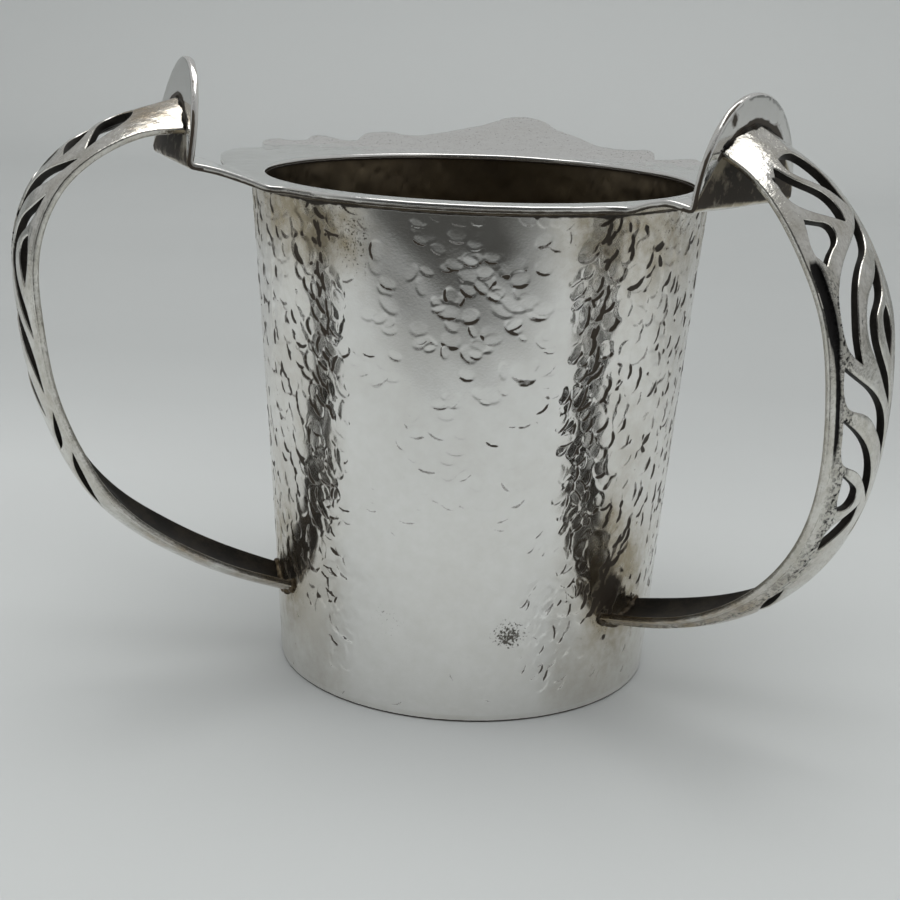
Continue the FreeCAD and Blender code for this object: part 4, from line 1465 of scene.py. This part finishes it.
    def _struck_share(self, flat: Points) -> Points:
        """How strongly places of the plate are hammered: the ears and the ring are smoother."""
        share = 0.35 + 0.65 * smooth_step(flat[:, 1], 20.0, 45.0)
        for ear in self.ears:
            out, back = self._axes(ear)
            on_ear = smooth_step(flat @ out, 56.0, 62.0) * (np.abs(flat @ back) < ear.width)
            share = share * (1.0 - 0.85 * on_ear * (flat[:, 1] < self.ear_end))
        gap = np.abs(np.linalg.norm(flat, axis=1) - self.sizes.mouth_radius)
        return share * smooth_step(gap, 0.2, 1.8)

    def masks(self, flat: Points, is_lower: bool) -> dict[str, Points]:
        """Tarnish, soot and specks of the plate, with painted shade on its edges and a dark ring
        round the band heads that is partly painted shadow; its lower face is also the lugs' outer
        face.
        """
        tarnish = np.full(len(flat), 0.75 if is_lower else 0.04)
        soot = np.full(len(flat), 0.16 if is_lower else 0.0)
        specks = 0.15 + 0.36 * smooth_step(flat[:, 1], 32.0, 46.0)
        # Painted shade on the lower half of the sheet's edges.
        edge_dark = np.full(len(flat), 0.45 if is_lower else 0.0)
        for ear in self.ears:
            out, back = self._axes(ear)
            along, across = flat @ out, flat @ back
            tall = along - self.paths[ear.side].fold_at
            on_ear = (np.abs(across) < ear.width) & (flat[:, 1] < self.ear_end)
            mine = (tall > -0.8) & on_ear
            if not is_lower:
                tarnish = np.where(mine, 0.25, tarnish)
                continue
            crown = (116.2 - ear.fold_level) / math.cos(math.radians(ear.lean))
            above = tall - (crown - 4.5 * (across / 10.0) ** 2)
            under = 1.0 - smooth_step(above, -1.5, 0.2)
            clean_fold = 1.0 - smooth_step(tall, 0.3, 1.1)
            # Dark ring round the band's head: partly soot, partly painted shadow of the gap
            # between band and lug.
            gap = hump(above, 0.75) * (1.0 - smooth_step(np.abs(across), 10.5, 12.5))
            pale = hump(across + 10.8, 2.2) * hump(tall - crown + 6.3, 2.6)
            lug_soot_and_shade = 0.95 * gap + under * (0.57 - 0.32 * pale)
            for stain in LUG_STAINS[ear.side]:
                lug_soot_and_shade += stain.weight(across - stain.place, tall - crown - stain.level)
            # On the right the painted gap shadow runs on along the band's top.
            if ear.side is Side.RIGHT:
                lug_soot_and_shade += 0.30 * hump(above - 1.0, 1.2) * (across > -3.0)
            lug_tarnish = np.maximum(2.2 * under, 0.06) * (1.0 - 0.9 * clean_fold)
            tarnish = np.where(mine, lug_tarnish, tarnish)
            soot = np.where(mine, lug_soot_and_shade * (1.0 - clean_fold), soot)
            specks = np.where(mine, 0.0, specks)
            # Stronger painted edge shade on the lower part of each lug.
            edge = (tall > -1.5) * (1.0 - smooth_step(tall, 8.0, 13.0))
            edge_dark = np.where(on_ear, np.maximum(edge_dark, edge), edge_dark)
        return {"tarnish": np.clip(tarnish, 0, 3), "soot": np.clip(soot, 0, 1),
                "specks": np.clip(specks, 0, 1), "edge_dark": np.clip(edge_dark, 0, 1)}

    def piece(self, finishes: Sequence[bpy.types.Material]) -> bpy.types.Object:
        """Build the plate.

        Args:
            finishes: Its material.

        Returns:
            The plate.
        """
        return SheetMesh("rim_plate_sheet", self.pattern(), self.sizes.plate, self.place,
                         self.masks).build(finishes)


# The handles

@dataclass
class PiercedBand:
    """Arched cast band with leaf-shaped openings."""

    sizes: BandSizes
    spacing: float = 0.5
    sunk: float = 0.5

    def __post_init__(self) -> None:
        """Lay out the crown line."""
        sizes = self.sizes
        self.sign = sizes.ear.sign
        angle = math.radians(CUP.ear_angle)
        self.out = np.array([self.sign * math.sin(angle), -math.cos(angle), 0.0])
        self.back = np.array([self.sign * math.cos(angle), math.sin(angle), 0.0])
        foot = float(CUP.foot_radius + (CUP.top_radius - CUP.foot_radius)
                     * (sizes.foot_level - CUP.floor) / (CUP.height - CUP.floor))
        head = sizes.ear.lug_face(sizes.head_level)
        rise = sizes.head_level - sizes.foot_level
        line = [(foot + (head - foot) * up + sizes.bow * bulge, sizes.foot_level + rise * up)
                for bulge, up in sizes.crown_shares]
        for number, share in enumerate((1.0, 0.25)):
            line[number] = (line[number][0], line[number][1] + sizes.head_lift * share)
        self.crown = Spline(line)
        self.length = self.crown.length

    def spans(self, along: Points) -> tuple[Points, Points, Points]:
        """Half width, arch and drift of the band at distances along it."""
        sizes, share = self.sizes, np.clip(along / self.length, 0.0, 1.0)
        half, arch, drift = values_at(BAND_SHARES[:, 0], BAND_SHARES[:, 1:], share).T
        half = half * sizes.width / 2.0
        more = (sizes.head_arch - sizes.arch) * (1.0 - smooth_step(share, 0.0, 0.08))
        return half, arch * sizes.arch + more, half * drift

    def _on_pattern(self, share: float, across: float) -> tuple[float, float]:
        """Place on the pattern of a share of the length and of the half width."""
        half = self.spans(np.array([share * self.length]))[0]
        return share * self.length, across * self.sign * float(half[0])

    def pattern(self) -> Pattern:
        """Flat pattern of the band with its leaves."""
        extra = 1.6
        along = np.arange(-extra, self.length + extra, self.spacing)
        half, _, _ = self.spans(along)
        front = np.stack([along, -half], axis=1)
        rear = np.stack([along, half], axis=1)[::-1]
        outline = joined([front, rear], self.spacing)
        leaves = []
        for first, inner in LEAF_SHARES:
            runs = [Spline([self._on_pattern(*point) for point in flank],
                           300).sampled(self.spacing * 0.8)
                    for flank in (first, (first[0], *inner, first[-1]))]
            leaves.append(joined([runs[0], runs[1][::-1]], self.spacing))
        return Pattern(outline, leaves, self.spacing, 0.24)

    def relief(self, flat: Points) -> Points:
        """Height of the rib, the groove and the leaf edges over the plain arch."""
        share, across, strip, thin, slit = self._lines(flat)
        fade = smooth_step(share, 0.12, 0.24)
        rib = hump(across + 0.72, 0.07) * fade
        second = hump(across - 0.90, 0.04) * fade
        ridge = ((hump(across - 0.12, 0.09) - 0.6 * hump(across + 0.18, 0.16))
                 * (1.0 - smooth_step(share, 0.05, 0.13)))
        return -0.42 * strip - 0.3 * thin + 0.28 * rib - 0.25 * second + 0.18 * ridge - 0.4 * slit

    def _lines(self, flat: Points) -> tuple[Points, Points, Points, Points, Points]:
        """Shares along and across, and the wide strip, the thin groove and the slit there."""
        half, _, _ = self.spans(flat[:, 0])
        share = flat[:, 0] / self.length
        across = flat[:, 1] / half * self.sign
        strip = (smooth_step(across, -0.97, -0.93) * (1.0 - smooth_step(across, -0.80, -0.74))
                 * smooth_step(share, 0.20, 0.23) * (1.0 - smooth_step(share, 0.29, 0.36)))
        thin = (hump(across + 0.84, 0.045) * smooth_step(share, 0.29, 0.35)
                * (1.0 - smooth_step(share, 0.90, 1.0)))
        slit = (hump(across + 0.66 - (share - 0.115) * 3.0, 0.05)
                * smooth_step(share, 0.085, 0.10) * (1.0 - smooth_step(share, 0.13, 0.145)))
        return share, across, strip, thin, slit

    def place(self, flat: Points, depth: Points) -> Points:
        """Lay places of the pattern on the arch.

        Args:
            flat: Places on the pattern.
            depth: Depth under the outer face.

        Returns:
            Places in the room.
        """
        along = flat[:, 0]
        half, arch, drift = self.spans(along)
        t = flat[:, 1] / half
        crown = self.crown.points(along)
        way = self.crown.directions(np.clip(along, 0.0, self.length))
        normal = np.stack([-way[:, 1], way[:, 0]], axis=1)
        slope = 2.0 * arch * t / half
        length = np.sqrt(1.0 + slope ** 2)
        lift = self.relief(flat) * np.clip(1.0 - depth / self.sizes.thickness, 0.0, 1.0)
        rise = -arch * t ** 2 + (lift - depth) / length
        side = drift + flat[:, 1] + (lift - depth) * slope / length
        radial, height = (crown + normal * rise[:, None]).T
        limit = self.sizes.ear.lug_face(height) - self.sunk
        radial = np.where((along < 20.0) & (radial < limit), limit, radial)
        place = radial[:, None] * self.out + side[:, None] * self.back
        place[:, 2] = height
        reach = np.linalg.norm(place[:, :2], axis=1)
        wall = CUP.wall_radius(height) - self.sunk
        inside = (along > self.length - 25.0) & (reach < wall)
        place[:, :2] *= np.where(inside, wall / np.maximum(reach, 1e-6), 1.0)[:, None]
        return place

    def masks(self, flat: Points, is_lower: bool) -> dict[str, Points]:
        """Pits, tarnish and soot of the band, with a painted dark reflection along its groove; its
        inner face is dark all over.
        """
        share, across, strip, thin, slit = self._lines(flat)
        pitted = 1.3 * hump(across + 0.66, 0.11) * smooth_step(share, 0.20, 0.30)
        tarnish = 0.15 + 0.6 * smooth_step(share, 0.60, 0.78)
        if self.sign < 0:
            tarnish = tarnish + 0.6 * (1.0 - smooth_step(share, 0.05, 0.14))
        # The groove's dark strip and thin line are painted reflections; the thin line fades past
        # half the band's length.
        wear_and_fade = 1.0 - 0.85 * smooth_step(share, 0.42, 0.52)
        soot = 0.8 * strip + 0.85 * thin * wear_and_fade + 0.9 * slit
        if is_lower:
            soot = np.ones(len(flat))
        return {"pitted": np.clip(pitted, 0, 1), "tarnish": np.clip(tarnish, 0, 1),
                "soot": np.clip(soot, 0, 1)}

    def piece(self, finishes: Sequence[bpy.types.Material]) -> bpy.types.Object:
        """Build the band.

        Args:
            finishes: Outer face, cut walls and inner face materials.

        Returns:
            The band.
        """
        name = "left_handle_band" if self.sign < 0 else "right_handle_band"
        sheet = SheetMesh(name, self.pattern(), self.sizes.thickness, self.place, self.masks,
                          deeper=0.35, dark_edge=False)
        return sheet.build(finishes, cut_finish=1, under_finish=2)

    def seam(self, name: str, at_head: bool, size: float, seed: int,
             finish: bpy.types.Material) -> bpy.types.Object:
        """Build the lumpy solder bead where the band meets its lug or the wall.

        Args:
            name: Name of the piece.
            at_head: Whether it is the seam at the lug.
            size: Radius of the bead.
            seed: Start of its unevenness.
            finish: Its material.

        Returns:
            The bead.
        """
        station = 0.0 if at_head else self.length
        half = float(self.spans(np.array([station]))[0][0])
        spread = np.linspace(-half, half, 45)
        loop = [(across, 0.0) for across in spread]
        loop += [(across, self.sizes.thickness) for across in spread[::-1]]
        trial = np.linspace(-7.0, 5.0, 60)
        along = station + (trial if at_head else -trial)
        path = []
        for across, depth in loop:
            spots = self.place(np.column_stack([along, np.full(60, across)]), np.full(60, depth))
            if at_head:
                off = spots @ self.out - self.sizes.ear.lug_face(spots[:, 2])
            else:
                off = np.linalg.norm(spots[:, :2], axis=1) - CUP.wall_radius(spots[:, 2])
            path.append(spots[int(np.argmin(np.abs(off)))])
        path = np.array(path)
        ahead = unit(np.roll(path, -1, axis=0) - np.roll(path, 1, axis=0))
        first = unit(np.cross(ahead, np.array([0.0, 0.0, 1.0])))
        return Bead(name, size, seed, 0.11, range(2, 14)).build(path, first,
                                                               np.cross(ahead, first), finish)


# The studio

@dataclass(frozen=True)
class Camera:
    """The camera at the photograph's place, in millimetres and degrees."""

    place: tuple[float, float, float] = (47.1, -315.2, 135.13)
    heading: float = -9.226
    tilt: float = 15.989
    roll: float = 2.1518
    lens: float = 63.0

    def build(self) -> bpy.types.Object:
        """Make the camera and set it as the scene's."""
        heading, tilt, roll = (math.radians(v) for v in (self.heading, self.tilt, self.roll))
        ahead = Vector((math.sin(heading) * math.cos(tilt), math.cos(heading) * math.cos(tilt),
                        -math.sin(tilt)))
        right = Vector((math.cos(heading), -math.sin(heading), 0.0))
        up = right.cross(ahead)
        turned_right = right * math.cos(roll) + up * math.sin(roll)
        turned_up = up * math.cos(roll) - right * math.sin(roll)
        data = bpy.data.cameras.new("photo_camera")
        data.lens, data.sensor_width = self.lens, 36.0
        data.clip_start, data.clip_end = 0.01, 20.0
        camera = bpy.data.objects.new("photo_camera", data)
        camera.matrix_world = (Matrix.Translation(Vector(self.place) * MM)
                               @ Matrix((turned_right, turned_up, -ahead)).transposed().to_4x4())
        bpy.context.scene.collection.objects.link(camera)
        bpy.context.scene.camera = camera
        return camera


@dataclass(frozen=True)
class SoftLight:
    """One broad soft light."""

    name: str
    place: tuple[float, float, float]
    aim: tuple[float, float, float]
    width: float
    depth: float
    power: float
    colour: tuple[float, float, float] = (1.0, 1.0, 1.0)

    def build(self) -> bpy.types.Object:
        """Make the light."""
        data = bpy.data.lights.new(self.name, "AREA")
        data.shape, data.size, data.size_y = "RECTANGLE", self.width, self.depth
        data.energy, data.color = self.power, self.colour
        light = bpy.data.objects.new(self.name, data)
        light.location = self.place
        way = Vector(self.aim) - Vector(self.place)
        light.rotation_euler = way.to_track_quat("-Z", "Y").to_euler()
        bpy.context.scene.collection.objects.link(light)
        return light


@dataclass(frozen=True)
class Studio:
    """Table, backdrop, soft lights and room light."""

    half_width: float = 3.0
    back: float = 1.15
    wall_height: float = 0.36
    bend: float = 0.25
    ceiling: float = 9.4
    fill: float = 6.9
    room: tuple[tuple[float, float], ...] = ((0.0, 0.05), (0.12, 0.07), (0.30, 0.30), (0.45, 0.42),
                                             (1.0, 0.42))

    def table(self, finish: bpy.types.Material) -> bpy.types.Object:
        """Make the table with a backdrop that rises behind it in a soft bend."""
        rows = [(-3.0, 0.0), (0.6, 0.0), (self.back - self.bend, 0.0)]
        for part in np.linspace(0.0, 1.0, 17)[1:]:
            angle = part * math.pi / 2.0
            rows.append((self.back - self.bend + self.bend * math.sin(angle),
                         self.bend * (1.0 - math.cos(angle))))
        rows.append((self.back, self.wall_height))
        build = Build("table_and_backdrop")
        line = [build.row(np.array([(-self.half_width, back, level),
                                    (self.half_width, back, level)]) / MM)
                for back, level in rows]
        build.fill([[*near, *far[::-1]] for near, far in zip(line, line[1:])])
        return build.done([finish], 40.0)

    def front_card(self, finish: bpy.types.Material) -> bpy.types.Object:
        """Make the dark card in front of the cup, which only reflections see."""
        build = Build("front_card")
        build.fill([build.row(np.array([(-0.55, -0.75, 0.002), (0.45, -0.75, 0.002),
                                        (0.45, -0.17, 0.002), (-0.55, -0.17, 0.002)]) / MM)])
        card = build.done([finish], 40.0)
        card.visible_camera = card.visible_diffuse = card.visible_shadow = False
        return card

    def world(self) -> None:
        """Light the room from the sides and the top, and leave it dark in front."""
        world = bpy.data.worlds.new("room")
        bpy.context.scene.world = world
        world.use_nodes = True
        tree = world.node_tree
        background = tree.nodes["Background"]
        place = tree.nodes.new("ShaderNodeTexCoord")
        split = tree.nodes.new("ShaderNodeSeparateXYZ")
        tree.links.new(place.outputs["Generated"], split.inputs[0])
        spread = tree.nodes.new("ShaderNodeMapRange")
        spread.inputs["From Min"].default_value = -1.0
        tree.links.new(split.outputs["Y"], spread.inputs["Value"])
        ramp = tree.nodes.new("ShaderNodeValToRGB")
        fill_ramp(ramp, self.room, (0.985, 1.0, 1.0))
        tree.links.new(spread.outputs["Result"], ramp.inputs["Fac"])
        tree.links.new(ramp.outputs["Color"], background.inputs["Color"])

    def lights(self) -> list[bpy.types.Object]:
        """Make the soft lights; the fills stay out of the reflections."""
        above = SoftLight("ceiling_light", (0.0, 0.30, 1.35), (0.0, 0.30, 0.0), 1.2, 1.0,
                          self.ceiling, (1.0, 0.998, 0.99)).build()
        fills = [SoftLight(name, place, (0.0, 0.0, 0.0), 1.4, 1.0, self.fill).build()
                 for name, place in (("front_fill", (0.0, -0.95, 1.0)),
                                     ("left_fill", (-1.1, -0.35, 0.9)),
                                     ("right_fill", (1.1, -0.35, 0.9)))]
        for light in fills:
            light.visible_glossy = False
        return [above, *fills]


# The whole

class Slot(Enum):
    """Material slots of the record."""

    WALL = "hammered_sheet"
    RIM = "rim_sheet"
    BAND = "cast_band"
    SEAM = "solder"


def keep(piece: bpy.types.Object, slot: Slot, *nodes: str) -> bpy.types.Object:
    """Let a piece ride on the cup and stand for its nodes.

    Args:
        piece: The new piece.
        slot: Its material slot; not used.
        *nodes: Nodes that it stands for.

    Returns:
        The same piece.
    """
    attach(piece, "root")
    if nodes:
        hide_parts(*nodes)
    log.info("%s: %d faces", piece.name, len(piece.data.polygons))
    return piece


def main() -> None:
    """Build and dress the cup, then the studio round it."""
    logging.basicConfig(level=logging.INFO, format="%(message)s")
    bpy.context.scene.view_settings.view_transform = "Standard"
    silver = Silver("hammered_silver").material()
    rim_silver = Silver("rim_silver", clean=0.90, roughness=0.09, spread=0.06).material()
    inside = Gilt("dark_gilt_inside").material()
    cast = CastMetal("cast_silver").material()
    cut = Oxide("black_cut_walls", light=(0.05, 0.045, 0.04, 1.0), roughness=0.45).material()
    inner = Oxide("dark_band_inside", light=(0.07, 0.056, 0.042, 1.0)).material()
    solder = SolderMetal("yellow_solder", bright=(0.24, 0.19, 0.12, 1.0)).material()
    dark_solder = SolderMetal("dark_solder", bright=(0.12, 0.10, 0.075, 1.0)).material()
    # The head seams are near black: solder, with painted shadow of the gap round the band heads.
    black_seam = SolderMetal("black_seam", bright=(0.045, 0.038, 0.030, 1.0),
                             dark=(0.012, 0.011, 0.010, 1.0)).material()

    bowl = Bowl()
    keep(bowl.wall_piece([silver, inside]), Slot.WALL, "cup_wall")
    keep(bowl.floor_piece([silver, inside]), Slot.WALL, "cup_floor")
    keep(bowl.seam_piece("rim_seam", CUP.top_radius + 0.05, CUP.height - 0.15, 0.5, 3,
                         dark_solder), Slot.SEAM, "rim_solder")
    keep(bowl.seam_piece("floor_seam", CUP.foot_radius - CUP.wall, CUP.floor, 0.6, 4, solder),
         Slot.SEAM, "floor_solder")
    keep(RimPlate().piece([rim_silver]), Slot.RIM, "rim_plate")
    bands = (BandSizes(LEFT_EAR, LEFT_CROWN_SHARES),
             BandSizes(RIGHT_EAR, RIGHT_CROWN_SHARES, head_lift=0.9, head_arch=4.0))
    for sizes in bands:
        band = PiercedBand(sizes)
        side = sizes.ear.side
        name = side.name.lower()
        keep(band.piece([cast, cut, inner]), Slot.BAND, name + "_handle")
        keep(band.seam(name + "_head_seam", True, 0.42, 11, black_seam), Slot.SEAM,
             name + "_head_solder")
        keep(band.seam(name + "_foot_seam", False, 0.6, 12 + side.value,
                       solder if side is Side.LEFT else dark_solder), Slot.SEAM,
             name + "_foot_solder")

    studio = Studio()
    studio.table(TableTop("pale_table").material())
    studio.front_card(TableTop("dark_card", dark_front=True).material())
    studio.lights()
    studio.world()
    Camera().build()


if __name__ == "__main__":
    main()
